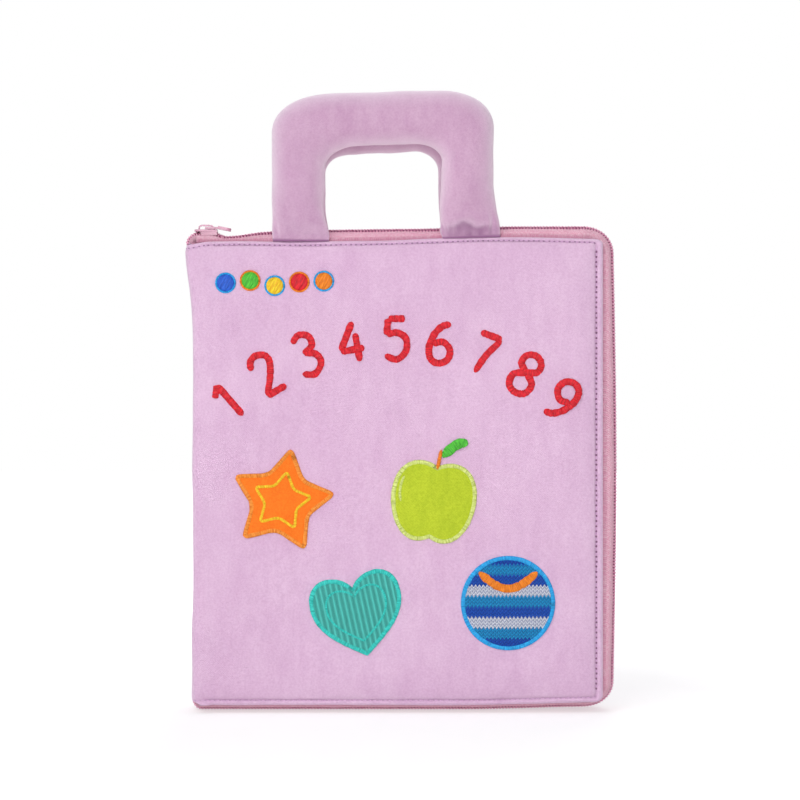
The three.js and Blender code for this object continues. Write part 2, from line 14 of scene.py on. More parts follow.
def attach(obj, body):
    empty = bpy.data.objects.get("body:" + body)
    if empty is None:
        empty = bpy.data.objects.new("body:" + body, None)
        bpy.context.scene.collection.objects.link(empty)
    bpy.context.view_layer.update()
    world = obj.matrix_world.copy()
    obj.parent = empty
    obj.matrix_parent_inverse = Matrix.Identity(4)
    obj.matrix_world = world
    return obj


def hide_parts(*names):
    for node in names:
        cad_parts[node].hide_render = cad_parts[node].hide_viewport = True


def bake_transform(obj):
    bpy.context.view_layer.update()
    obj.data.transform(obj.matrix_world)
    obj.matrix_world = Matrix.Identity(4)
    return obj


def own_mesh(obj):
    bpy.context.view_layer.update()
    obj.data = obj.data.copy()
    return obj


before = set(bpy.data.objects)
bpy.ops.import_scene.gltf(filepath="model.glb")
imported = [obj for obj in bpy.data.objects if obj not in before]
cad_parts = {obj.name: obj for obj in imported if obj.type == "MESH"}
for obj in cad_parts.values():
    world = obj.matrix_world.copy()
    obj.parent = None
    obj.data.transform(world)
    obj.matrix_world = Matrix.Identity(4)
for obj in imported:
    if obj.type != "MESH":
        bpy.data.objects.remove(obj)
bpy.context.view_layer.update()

MM = 0.001
TURN = 2 * math.pi
TINY = 1e-6

# Book
COVER_WIDTH = 226
COVER_BOTTOM = 5.2
COVER_HEIGHT = 254.5
COVER_TOP = COVER_BOTTOM + COVER_HEIGHT
BOOK_MIDDLE_X = 116.6
FACE = 22  # from the middle of the thickness to a cover's outer face
INSIDE = 15  # to a cover's inner face
CORNER_RADIUS = 5
TOP_RISE = 1.7  # how much higher the top edge is at the fore edge than at the spine
TOP_SETTLE = 0.2  # how far the whole top edge lies under its plain height
# Where the handle and the zip pull the top edge up: the place along it, the height and the reach
HEAD_PULLS = ((168, 1.5, 44), (28, 0.7, 18))
# How far a cover's corner sinks beside the spine, over which length, and from where to where in the
# thickness the sinking sets in
HEAD_DROOP = 1.8
HEAD_DROOP_REACH = 14
DROOP_DEPTHS = (12, 20)
FORE_SPREAD = 1.6  # how far the filled cover swells over the tape at its fore edge
SPREAD_REACH = 60

# Stitching
STITCH_PITCH = 2.8
STITCH_LENGTH = 1.75
STITCH_RADIUS = 0.34
STITCH_SLACK = 0.35
STITCH_LIFT = 0.45  # over the bottom of its groove
STITCH_TURN = 2.2  # radius that the stitch lines turn in at a cover's corners
# The needle pits are dark tubes laid between the stitches, painted shade.
PIT_LENGTH = 1.25  # the shaded dip where the needle went in between two stitches
PIT_RADIUS = {"head": 0.42, "fore": 0.52, "foot": 0.3}

# Zip
ZIP_REACH = {"top": 6.6, "side": 9.05, "bottom": 5.05}
# Radius of the seam that the tape follows at the fore edge's corners
ZIP_BENDS = {"top": 8.5, "bottom": 9}
FORE_BOW = 1.65  # how much further the tape reaches at the middle of the fore edge
ZIP_START = 17
COIL_PITCH = 1.75
TAPE_SEAM = 16.3  # from the middle of the thickness to the seam
TAPE_RIM = 0.8  # and to the tape's inner rim
TAPE_DROP = 2.1  # from the chain's top down to the crest of the tape
# The slack beside the slider, and the chain's climb from there on and towards the fore edge
DIP_PLACE = 19
DIP_DEPTH = 2.1
DIP_WIDTH = {"near": 4.2, "far": 13}
CLIMB_START = 30
CLIMB_REACH = 55
CHAIN_CLIMB = 2.5
FORE_CLIMB = 1.05
FORE_CLIMB_START = 125

# Handles
HANDLE_LEFT = 45
HANDLE_WIDTH = 122
HANDLE_RISE = 83.5
HANDLE_TUBE = 29
HANDLE_DEPTH = 22
HANDLE_ROOT_DEPTH = 3.4
HANDLE_PLANE = 19.6

# Leaves
LEAF_COUNT = 4
LEAF_PITCH = 7.2
LEAF_ROOT_X = 11.05
LEAF_ROOT_HALF = 0.95
LEAF_EDGE_GAP = 4


def place(x, y, z):
    return Vector(((x - BOOK_MIDDLE_X) * MM, y * MM, z * MM))


def lerp(a, b, t):
    return a + (b - a) * t


def smooth(t):
    t = min(max(t, 0), 1)
    return t * t * (3 - 2 * t)


def wobble(x, y, z, scale, seed=0):
    """Even noise from about -1 to 1 whose bumps are some scale across."""
    return 1.6 * noise.noise(Vector((x / scale + seed * 7.13, y / scale, z / scale)))


def spline(points, steps):
    """A smooth line through points, with that many steps between each two."""
    line = []
    for k in range(len(points) - 1):
        before = points[max(k - 1, 0)]
        start, end = points[k], points[k + 1]
        after = points[min(k + 2, len(points) - 1)]
        for step in range(steps):
            t = step / steps
            line.append(tuple(
                0.5 * (2 * b + (c - a) * t + (2 * a - 5 * b + 4 * c - d) * t * t
                       + (3 * b - a - 3 * c + d) * t ** 3)
                for a, b, c, d in zip(before, start, end, after)
            ))
    line.append(tuple(points[-1]))
    return line


# Meshes


def mesh_object(name, points, faces, material, uvs=None):
    """A smooth mesh from points in millimetres. uvs gives one (u, v) for each point."""
    mesh = bpy.data.meshes.new(name)
    mesh.from_pydata([place(*p) for p in points], [], faces)
    mesh.validate()
    mesh.shade_smooth()
    if uvs:
        layer = mesh.uv_layers.new(name="cloth")
        for loop in mesh.loops:
            layer.data[loop.index].uv = uvs[loop.vertex_index]
    mesh.materials.append(material)
    obj = bpy.data.objects.new(name, mesh)
    bpy.context.scene.collection.objects.link(obj)
    return obj


def grid_faces(rows, columns, closed_rows=False, closed_columns=False, flip=False):
    """Quads between the points of a grid that is listed row by row."""
    faces = []
    for r in range(rows if closed_rows else rows - 1):
        row, below = r * columns, (r + 1) % rows * columns
        for c in range(columns if closed_columns else columns - 1):
            right = (c + 1) % columns
            corners = [row + c, row + right, below + right, below + c]
            faces.append(corners[::-1] if flip else corners)
    return faces


def mark_painted_shade(obj, shares):
    """Stores how much painted shade each of a mesh's points gets, for its cloth to darken there."""
    layer = obj.data.attributes.new("painted_shade", "FLOAT", "POINT")
    layer.data.foreach_set("value", shares)


def flatten(rows):
    return [point for row in rows for point in row]


def grid_mesh(name, rows, material, uvs=None, **layout):
    """A mesh over rows of points, which grid_faces joins as the layout says."""
    faces = grid_faces(len(rows), len(rows[0]), **layout)
    return mesh_object(name, flatten(rows), faces, material, uvs)


def distances_along(line):
    """How far along a line of points each of them lies."""
    travelled = [0.0]
    for a, b in zip(line, line[1:]):
        travelled.append(travelled[-1] + math.dist(a, b))
    return travelled


def span_at(travelled, distance):
    """Which span of a line holds a distance along it, and the share of that span before it."""
    span = 0
    while span < len(travelled) - 2 and travelled[span + 1] < distance:
        span += 1
    return span, (distance - travelled[span]) / max(travelled[span + 1] - travelled[span], TINY)


THREAD_SIDES = 6
# Two slanting directions that a thread's rings are measured from: none runs along both
RING_GUIDES = Vector((0.13, 0.31, 0.94)), Vector((0.9, 0.2, 0.1))


def tube(path, radius, taper=1.0):
    """Rings round a path of points, for a thread or a wire; taper pinches its ends."""
    rings = []
    last = len(path) - 1
    for k, point in enumerate(path):
        ahead = Vector(path[min(k + 1, last)]) - Vector(path[max(k - 1, 0)])
        ahead.normalize()
        across = ahead.cross(RING_GUIDES[0])
        if across.length < 0.1:
            across = ahead.cross(RING_GUIDES[1])
        across.normalize()
        up = ahead.cross(across)
        size = radius * (1 - taper * abs(2 * k / last - 1) ** 4)
        ring = []
        for side in range(THREAD_SIDES):
            angle = TURN * side / THREAD_SIDES
            ring.append(tuple(Vector(point) + size * (math.cos(angle) * across + math.sin(angle) * up)))
        rings.append(ring)
    return rings


def joined_rings(name, all_rings, material):
    """One mesh of many loose tubes, each given as its rings and closed at both ends."""
    points, faces = [], []
    for rings in all_rings:
        start, sides = len(points), len(rings[0])
        points += flatten(rings)
        last = len(points) - sides
        for face in grid_faces(len(rings), sides, closed_columns=True):
            faces.append([i + start for i in face])
        faces.append([start + k for k in range(sides)][::-1])
        faces.append([last + k for k in range(sides)])
    return mesh_object(name, points, faces, material)


def stitches(name, path, material, length=STITCH_LENGTH, pitch=STITCH_PITCH, radius=STITCH_RADIUS,
             shift=0.5):
    """A running stitch along a path: one short sunk thread a pitch, none quite like the next."""
    travelled = distances_along(path)
    threads = []
    steps = 4
    for k in range(int(travelled[-1] / pitch)):
        begin = pitch * (k + shift) - length / 2 + STITCH_SLACK * wobble(7.3 * k, shift, 0, 5, 17)
        aside = 0.4 * STITCH_SLACK * wobble(5.9 * k, shift, 0, 5, 18)
        line = []
        for step in range(steps + 1):
            span, share = span_at(travelled, begin + length * step / steps)
            sewn = Vector(path[span]).lerp(Vector(path[span + 1]), share)
            line.append(sewn + Vector((aside, 0, aside)))
        threads.append(tube(line, radius * (1 + 0.15 * wobble(3.1 * k, shift, 1, 5, 19))))
    return joined_rings(name, threads, material)


# Panels: grids whose edge lines follow the rounded outline


def edge_curve(points, steps):
    """A panel's section from its rim to where it is flat: each point's inset and depth, and how far
    along the cloth it lies."""
    line = spline(points, steps)
    insets, depths = zip(*line)
    return {"inset": insets, "depth": depths, "along": distances_along(line)}


def axis_lines(length, curve, step, start_places=()):
    """Grid lines across a panel. Each has its ring counted from the near rim and from the far rim,
    or None where it isn't in that rim's rings, and its place. A near side without a rim has the
    first of its lines at start_places."""
    count = len(curve["inset"]) - 1
    reach = curve["inset"][count]
    if start_places:
        lines = [(None, None, p) for p in start_places]
        first, skip = start_places[-1], 1
    else:
        lines = [(k, None, curve["inset"][k]) for k in range(count)]
        first, skip = reach, 0
    inner = max(int(round((length - reach - first) / step)), 1)
    lines += [(None, None, lerp(first, length - reach, k / inner)) for k in range(skip, inner + 1)]
    lines += [(None, k, length - curve["inset"][k]) for k in reversed(range(count))]
    return lines


# A rounded corner's radius on the way in from its rim: what it loses with each millimetre, the least
# that it comes to, what it gains past the sewn edge and the largest share of the rings that it takes up
RADIUS_LOSS, LEAST_RADIUS, RADIUS_GAIN, SEWN_EDGE, RADIUS_SHARE = 0.75, 1.2, 0.5, 5, 0.8


def corner_point(curve, a, b, radius):
    """Where the grid's lines a and b cross in a rounded corner, as insets from its two sides."""
    insets, along = curve["inset"], curve["along"]
    ring, other = min(a, b), max(a, b)
    inset = insets[ring]
    span = insets[-1] - inset
    run = span * (along[other] - along[ring]) / max(along[-1] - along[ring], TINY)
    rounding = max(radius - RADIUS_LOSS * max(inset, 0), LEAST_RADIUS)
    rounding = min(rounding + RADIUS_GAIN * max(inset - SEWN_EDGE, 0), RADIUS_SHARE * span)
    if rounding > TINY and run < rounding:
        angle = math.pi / 4 * (1 - run / rounding)
        near = inset + rounding * (1 - math.cos(angle))
        far = inset + rounding * (1 - math.sin(angle))
    else:
        near, far = inset, inset + run
    return (near, far) if a <= b else (far, near)


def panel_grid(width, height, curve, step, radius, left_places=()):
    """Rows of (u, v, depth, ring) of a panel with its corner at 0, 0."""
    columns = axis_lines(width, curve, step, left_places)
    lines = axis_lines(height, curve, step)
    flat_ring = len(curve["inset"]) - 1
    rows = []
    for v_start, v_end, v in lines:
        row = []
        v_ring = v_start if v_start is not None else v_end
        for u_start, u_end, u in columns:
            u_ring = u_start if u_start is not None else u_end
            x, y = u, v
            if u_ring is not None and v_ring is not None:
                from_u, from_v = corner_point(curve, u_ring, v_ring, radius)
                x = from_u if u_start is not None else width - from_u
                y = from_v if v_start is not None else height - from_v
            ring = min((r for r in (u_ring, v_ring) if r is not None), default=flat_ring)
            row.append((x, y, curve["depth"][ring], ring))
        rows.append(row)
    return rows


# Finishes: textures on a piece's own place count in metres, and those on its UV in millimetres


def new_group(name, inputs, outputs):
    """An empty node group with these sockets, and its two end nodes."""
    group = bpy.data.node_groups.new(name, "ShaderNodeTree")
    for label, kind, value in inputs:
        socket = group.interface.new_socket(name=label, in_out="INPUT", socket_type=kind)
        if value is not None:
            socket.default_value = value
    for label, kind in outputs:
        group.interface.new_socket(name=label, in_out="OUTPUT", socket_type=kind)
    return group, group.nodes.new("NodeGroupInput"), group.nodes.new("NodeGroupOutput")


def node(tree, kind, links=None, **settings):
    """A node with its settings, and each named input linked or given a value."""
    made = tree.nodes.new(kind)
    for key, value in settings.items():
        setattr(made, key, value)
    for key, value in (links or {}).items():
        socket = made.inputs[key]
        if isinstance(value, bpy.types.NodeSocket):
            tree.links.new(value, socket)
        else:
            socket.default_value = value
    return made


def math_node(tree, operation, a, b=0.5, clamp=False):
    return node(tree, "ShaderNodeMath", {0: a, 1: b}, operation=operation, use_clamp=clamp).outputs[0]


def times(tree, a, b):
    return math_node(tree, "MULTIPLY", a, b)


def plus(tree, a, b, clamp=False):
    return math_node(tree, "ADD", a, b, clamp)


def mix_color(tree, factor, a, b, blend="MIX"):
    made = node(tree, "ShaderNodeMix", data_type="RGBA", blend_type=blend)
    for index, value in ((0, factor), (6, a), (7, b)):
        if isinstance(value, bpy.types.NodeSocket):
            tree.links.new(value, made.inputs[index])
        else:
            made.inputs[index].default_value = value
    return made.outputs[2]


def noise_value(tree, where, scale, detail, **inputs):
    """A noise texture's value at a place."""
    values = {"Vector": where, "Scale": scale, "Detail": detail, **inputs}
    return node(tree, "ShaderNodeTexNoise", values).outputs["Fac"]


def remap(tree, value, low, high, start=0.0, end=1.0, **settings):
    """A value between low and high, brought between start and end and held there."""
    values = {0: value, 1: low, 2: high, 3: start, 4: end}
    return node(tree, "ShaderNodeMapRange", values, **settings).outputs[0]


def stretched(tree, where, *scales):
    return node(tree, "ShaderNodeMapping", {"Vector": where, "Scale": scales}).outputs[0]


def wave(tree, value, rate):
    return math_node(tree, "SINE", times(tree, value, rate))


def half_up(tree, value):
    """A value from -1 to 1, brought between 0 and 1."""
    made = math_node(tree, "MULTIPLY_ADD", value, 0.5)
    made.node.inputs[2].default_value = 0.5
    return made


FLOAT, COLOR, VECTOR = "NodeSocketFloat", "NodeSocketColor", "NodeSocketVector"


def weave_group():
    """Plain weave with slubs and mottling: a colour, and the height of its threads."""
    group, start, end = new_group(
        "Woven cloth",
        [("Color", COLOR, None), ("Shade", COLOR, None), ("Vector", VECTOR, None),
         ("Threads per metre", FLOAT, 2200.0), ("Mottle", FLOAT, 0.5), ("Thread contrast", FLOAT, 0.12)],
        [("Color", COLOR), ("Height", FLOAT), ("Roughness", FLOAT)],
    )
    where, shade = start.outputs["Vector"], start.outputs["Shade"]
    counted = node(group, "ShaderNodeVectorMath",
                   {0: where, "Scale": start.outputs["Threads per metre"]}, operation="SCALE")
    axes = node(group, "ShaderNodeSeparateXYZ", {0: counted.outputs[0]}).outputs
    drift = times(group, noise_value(group, where, 420.0, 3.0), 1.8)
    warp = wave(group, plus(group, axes["X"], drift), math.pi)
    weft = wave(group, plus(group, axes["Z"], drift), math.pi)
    threads = half_up(group, times(group, warp, weft))

    blotches = remap(group, noise_value(group, where, 24.0, 5.0, Roughness=0.6), 0.32, 0.68)
    streaks = noise_value(group, stretched(group, where, 1.0, 1.0, 0.3), 170.0, 4.0)
    streaks = remap(group, streaks, 0.3, 0.7)
    both = times(group, plus(group, blotches, streaks), 0.6)
    mottled = times(group, both, start.outputs["Mottle"])
    base = mix_color(group, mottled, start.outputs["Color"], shade)

    fuzz = noise_value(group, where, 900.0, 4.0)
    grain = remap(group, fuzz, 0.34, 0.66, 0.0, 0.9)
    fibre = plus(group, times(group, threads, 0.3), grain)
    bare = math_node(group, "SUBTRACT", fibre, 0.2, True)
    fleck = times(group, bare, start.outputs["Thread contrast"])

    slubs = noise_value(group, stretched(group, where, 1.0, 1.0, 9.0), 310.0, 2.0)
    height = plus(group, times(group, threads, 0.45), times(group, slubs, 0.55))
    group.links.new(mix_color(group, fleck, base, shade, "MULTIPLY"), end.inputs["Color"])
    group.links.new(height, end.inputs["Height"])
    group.links.new(remap(group, fuzz, 0.3, 0.7, 0.78, 0.95), end.inputs["Roughness"])
    return group


def crumple_group():
    """Soft creases and puckers of padded cloth, as a height."""
    group, start, end = new_group(
        "Soft creases", [("Vector", VECTOR, None), ("Size", FLOAT, 60.0)], [("Height", FLOAT)],
    )
    wide = noise_value(group, start.outputs["Vector"], start.outputs["Size"], 1.6, Distortion=0.35)
    fold = math_node(group, "ABSOLUTE", math_node(group, "SUBTRACT", wide, 0.5))
    crease = remap(group, fold, 0.0, 0.12, interpolation_type="SMOOTHSTEP")
    blended = plus(group, times(group, crease, 0.12), times(group, wide, 0.88))
    group.links.new(blended, end.inputs["Height"])
    return group


WEAVE = weave_group()
CREASES = crumple_group()


def linear(hex_color):
    """A colour as it shows on a screen, such as "d9b8dc", in the renderer's own values."""
    parts = [int(hex_color[k:k + 2], 16) / 255 for k in (0, 2, 4)]
    return tuple(p / 12.92 if p <= 0.04045 else ((p + 0.055) / 1.055) ** 2.4 for p in parts) + (1.0,)


def material_base(name, roughness=0.9, sheen=0.0, sheen_tint="f8eaf6", specular=0.25):
    material = bpy.data.materials.new(name)
    material.use_nodes = True
    tree = material.node_tree
    shader = tree.nodes["Principled BSDF"]
    shader.inputs["Roughness"].default_value = roughness
    shader.inputs["Specular IOR Level"].default_value = specular
    shader.inputs["Sheen Weight"].default_value = sheen
    shader.inputs["Sheen Roughness"].default_value = 0.5
    shader.inputs["Sheen Tint"].default_value = linear(sheen_tint)
    return material, tree, shader


def object_place(tree):
    return tree.nodes.new("ShaderNodeTexCoord").outputs["Object"]


def flat_place(tree):
    """A mesh's flat place in millimetres, as its UV gives it, and the same split into X and Y."""
    uv = tree.nodes.new("ShaderNodeTexCoord").outputs["UV"]
    return uv, node(tree, "ShaderNodeSeparateXYZ", {0: uv}).outputs


def add_bump(tree, shader, height, distance, under=None):
    bump = node(tree, "ShaderNodeBump", {"Height": height, "Distance": distance, "Strength": 1.0})
    if under:
        tree.links.new(under.outputs["Normal"], bump.inputs["Normal"])
    tree.links.new(bump.outputs["Normal"], shader.inputs["Normal"])
    return bump


def cloth_finish(name, color, shade, density=2200.0, mottle=0.5, contrast=0.12, sheen=0.25,
                 crease_size=60.0, crease_depth=0.0012, thread_depth=0.00025):
    """Woven cloth with soft creases. It gives the colour's socket too, for more to be laid over it."""
    material, tree, shader = material_base(name, sheen=sheen)
    where = object_place(tree)
    weave = node(tree, "ShaderNodeGroup", node_tree=WEAVE)
    for key, value in (("Color", linear(color)), ("Shade", linear(shade)),
                       ("Threads per metre", density), ("Mottle", mottle),
                       ("Thread contrast", contrast)):
        weave.inputs[key].default_value = value
    tree.links.new(where, weave.inputs["Vector"])
    creases = node(tree, "ShaderNodeGroup", node_tree=CREASES)
    creases.inputs["Size"].default_value = crease_size
    tree.links.new(where, creases.inputs["Vector"])
    tree.links.new(weave.outputs["Color"], shader.inputs["Base Color"])
    tree.links.new(weave.outputs["Roughness"], shader.inputs["Roughness"])
    under = add_bump(tree, shader, creases.outputs["Height"], crease_depth)
    add_bump(tree, shader, weave.outputs["Height"], thread_depth, under=under)
    return material, tree, shader, weave.outputs["Color"]


def plain_cloth(name, color, shade, **values):
    return cloth_finish(name, color, shade, **values)[0]


def cloth_with_painted_shade(name, color, shade, painted_sheen=0.25, **values):
    """Cloth with painted shade: darkened towards plum as far as a value stored on its mesh says, along
    the stitches, at the lip's rim and at the handles' roots; seen from the side it pales with a painted
    sheen."""
    material, tree, shader, woven = cloth_finish(name, color, shade, **values)
    facing = node(tree, "ShaderNodeLayerWeight", {"Blend": 0.5}).outputs["Facing"]
    # painted sheen: pale where the cloth is seen from the side
    painted_rim_sheen = mix_color(tree, remap(tree, facing, 0.06, 0.7, 0.0, painted_sheen), woven, linear("fbe8f5"))
    # painted shade: dark plum as far as the mesh's stored value says
    painted_shade = node(tree, "ShaderNodeAttribute", attribute_name="painted_shade")
    shaded = mix_color(tree, painted_shade.outputs["Fac"], painted_rim_sheen, linear("8f5f87"))
    tree.links.new(shaded, shader.inputs["Base Color"])
    return material


def satin_finish(name, color, shade, pitch=0.42):
    """Satin stitch: close shining threads across the strip, which its UV runs along."""
    material, tree, shader = material_base(name, 0.36, 0.1, color, specular=0.35)
    uv, axes = flat_place(tree)
    jitter = times(tree, noise_value(tree, uv, 1.6, 2.0), 0.5)
    raised = half_up(tree, wave(tree, plus(tree, axes["X"], jitter), TURN / pitch))
    bundles = noise_value(tree, stretched(tree, uv, 1.15, 0.16, 1.0), 1.0, 2.0)
    # painted shade in the gaps between the threads and where the bundles sink
    gaps = times(tree, math_node(tree, "SUBTRACT", 1.0, raised), 0.2)
    satin_painted_shade = plus(tree, gaps, remap(tree, bundles, 0.36, 0.62, 0.85, 0.0), True)
    toned = mix_color(tree, satin_painted_shade, linear(color), linear(shade))
    tree.links.new(toned, shader.inputs["Base Color"])
    under = add_bump(tree, shader, bundles, 0.0012)
    add_bump(tree, shader, raised, 0.0001, under=under)
    return material


def thread_finish(name, color, shade):
    material, tree, shader = material_base(name, 0.6, 0.3, color)
    twist = noise_value(tree, object_place(tree), 1600.0, 3.0)
    toned = mix_color(tree, remap(tree, twist, 0.35, 0.65), linear(shade), linear(color))
    tree.links.new(toned, shader.inputs["Base Color"])
    add_bump(tree, shader, twist, 0.0002)
    return material


def tape_finish():
    """Zip tape: slanted herringbone ribs, which its UV measures along and across in millimetres."""
    band_width, slope, rib_pitch = 3.2, 0.9, 1.15
    material, tree, shader = material_base("herringbone zip tape", 0.7, 0.15, "e6b4c6")
    uv, axes = flat_place(tree)
    band = math_node(tree, "PINGPONG", axes["Y"], band_width)
    slant = plus(tree, axes["X"], times(tree, band, slope))
    raised = half_up(tree, wave(tree, slant, TURN / rib_pitch))
    flecks = remap(tree, noise_value(tree, uv, 1.0, 4.0), 0.36, 0.64, 0.0, 0.6)
    # painted shade: the ribs' tops lighter than the furrows between them, with random flecks
    tone = plus(tree, times(tree, raised, 0.35), flecks)
    base = mix_color(tree, tone, linear("ea9cb8"), linear("ffdce8"))
    worn = remap(tree, noise_value(tree, uv, 0.16, 2.0), 0.35, 0.7, 0.0, 0.35)
    patchy = mix_color(tree, worn, base, linear("eaa6bf"))
    # painted shade: darker towards the seam, where the lip overhangs the tape
    painted_lip_shade = remap(tree, axes["Y"], 14.7, 15.9, 0.0, 0.6)
    shaded = mix_color(tree, painted_lip_shade, patchy, linear("a8607e"))
    tree.links.new(shaded, shader.inputs["Base Color"])
    add_bump(tree, shader, raised, 0.00032)
    return material


def coil_finish():
    material, tree, shader = material_base("dark rose zip coil", 0.38, specular=0.5)
    cloud = noise_value(tree, object_place(tree), 500.0, 3.0)
    toned = mix_color(tree, remap(tree, cloud, 0.3, 0.7), linear("dc8cb0"), linear("f4bed4"))
    tree.links.new(toned, shader.inputs["Base Color"])
    tree.links.new(remap(tree, cloud, 0.3, 0.7, 0.3, 0.5), shader.inputs["Roughness"])
    return material


def paint_finish():
    """Rose stove paint over the slider's casting, thin along its edges."""
    material, tree, shader = material_base("rose slider paint", 0.3, specular=0.5)
    shader.inputs["Coat Weight"].default_value = 0.4
    shader.inputs["Coat Roughness"].default_value = 0.15
    cloud = noise_value(tree, object_place(tree), 260.0, 4.0)
    edge = node(tree, "ShaderNodeNewGeometry").outputs["Pointiness"]
    base = mix_color(tree, remap(tree, cloud, 0.3, 0.7, 0.0, 0.5), linear("c486a4"), linear("a56a88"))
    worn = mix_color(tree, remap(tree, edge, 0.52, 0.62, 0.0, 0.5), base, linear("e8c2cf"))
    tree.links.new(worn, shader.inputs["Base Color"])
    tree.links.new(remap(tree, cloud, 0.3, 0.7, 0.24, 0.42), shader.inputs["Roughness"])
    add_bump(tree, shader, cloud, 0.0001)
    return material


def rib_finish(name, color, shade, pitch, depth):
    """Corduroy: cords with a soft pile, side by side along the patch's UV in millimetres."""
    material, tree, shader = material_base(name, 0.85, 0.4, color)
    uv, axes = flat_place(tree)
    fray = noise_value(tree, uv, 2.4, 4.0)
    run = plus(tree, axes["X"], times(tree, fray, 0.5))
    raised = half_up(tree, wave(tree, run, TURN / pitch))
    # painted shade: the valleys between the cords darker
    base = mix_color(tree, math_node(tree, "POWER", raised, 0.8), linear(shade), linear(color))
    dusty = mix_color(tree, times(tree, fray, 0.3), base, linear("8fded6"))
    tree.links.new(dusty, shader.inputs["Base Color"])
    add_bump(tree, shader, raised, depth)
    return material


KNIT_BANDS = ("0f4fc0", "18a4de", "f4f6fa", "1457c8", "18a4de", "f4f6fa", "1457c8", "18a4de", "0f4fc0")
KNIT_REACH = 26.0


def knit_bands(tree, height):
    """Even bands of colour from the bottom of the knit to its top."""
    bands = remap(tree, height, -KNIT_REACH, KNIT_REACH)
    stripes = node(tree, "ShaderNodeValToRGB", {"Fac": bands})
    ramp = stripes.color_ramp
    ramp.interpolation = "CONSTANT"
    count = len(KNIT_BANDS)
    for k, color in enumerate(KNIT_BANDS):
        stop = ramp.elements[k] if k < 2 else ramp.elements.new(k / count)
        stop.position = k / count
        stop.color = linear(color)
    return stripes.outputs["Color"]


def knit_finish():
    """Knit with rows of V-shaped loops in bands of colour, on the patch's UV in millimetres."""
    loop_width, loop_height, slope = 2.1, 2.0, 1.5
    material, tree, shader = material_base("striped blue knit", 0.8, 0.35, "8fc6ff")
    axes = flat_place(tree)[1]
    beat = math_node(tree, "PINGPONG", axes["X"], loop_width / 2)
    lifted = math_node(tree, "SUBTRACT", axes["Y"], times(tree, beat, slope))
    row = wave(tree, lifted, TURN / loop_height)
    rib = wave(tree, axes["X"], TURN / (loop_width / 2))
    rows = plus(tree, times(tree, row, 0.32), 0.5)
    raised = math_node(tree, "SUBTRACT", rows, times(tree, rib, 0.12))
    # painted shade between the loops
    painted_loop_shade = times(tree, math_node(tree, "SUBTRACT", 1.0, raised, True), 0.7)
    shaded = mix_color(tree, painted_loop_shade, knit_bands(tree, lifted), linear("0b3a9a"), "MULTIPLY")
    tree.links.new(shaded, shader.inputs["Base Color"])
    add_bump(tree, shader, raised, 0.0011)
    return material


def page_finish(name, ground, figure, kind, pitch):
    """Printed page cloth: a common pattern of dots, stripes or checks on a plain ground."""
    material, tree, shader, woven = cloth_finish(
        name, ground, "d9d2dc", mottle=0.2, contrast=0.1, crease_size=45.0,
    )
    axes = node(tree, "ShaderNodeSeparateXYZ", {0: object_place(tree)}).outputs
    scale = 1 / (pitch * MM)
    across, upward = (math_node(tree, "FRACT", times(tree, axes[axis], scale))
                      for axis in ("X", "Z"))
    if kind == "dots":
        beats = [math_node(tree, "SUBTRACT", beat, 0.5) for beat in (across, upward)]
        squares = [times(tree, beat, beat) for beat in beats]
        mask = math_node(tree, "LESS_THAN", plus(tree, *squares), 0.03)
    elif kind == "stripes":
        mask = math_node(tree, "LESS_THAN", upward, 0.4)
    else:
        bands = [math_node(tree, "LESS_THAN", beat, 0.5) for beat in (across, upward)]
        mask = times(tree, plus(tree, *bands), 0.5)
    inked = mix_color(tree, times(tree, mask, 0.85), woven, linear(figure))
    tree.links.new(inked, shader.inputs["Base Color"])
    return material


jacket_cloth = cloth_with_painted_shade("lilac jacket cloth", "e6c6df", "d2a8cb", mottle=0.55, contrast=0.29,
                            crease_size=16.0, crease_depth=0.001, sheen=0.3, thread_depth=0.0004)
# The handles' lilac is a darker copy of the jacket's, painted shade, and pales strongly from the side, a
# painted sheen.
shaded_handle_cloth = cloth_with_painted_shade("lilac handle cloth with painted shade", "d6b2cb", "bf90b4", painted_sheen=0.8, mottle=0.6, contrast=0.2,
                            crease_size=24.0, sheen=0.3, thread_depth=0.0004)
# Painted shade: the pit tubes' dark colours, darkest at the fore edge
PIT_SHADE_COLORS = {"head": ("ad88a9", "94708f"), "fore": ("8c6084", "714869"), "foot": ("cdaac9", "bb96b7")}
pit_shade_cloths = {edge: plain_cloth(f"painted needle pit shade at the {edge}", *colors, mottle=0.4)
              for edge, colors in PIT_SHADE_COLORS.items()}
lining_cloth = plain_cloth("lilac lining cloth", "e0c3de", "cfaacd", mottle=0.35, contrast=0.1)
binding_cloth = plain_cloth("binding strip cloth", "d9b6d6", "c298be", mottle=0.3)
lilac_thread = thread_finish("lilac sewing thread", "e6c4e2", "c79ac4")
tape_cloth = tape_finish()
coil_plastic = coil_finish()
filler_cord_with_painted_shade = thread_finish("dark rose filler cord with painted gap shade", "b4668c", "9a4f78")
slider_paint = paint_finish()

# Jacket: the cloth that wraps the spine and a cover

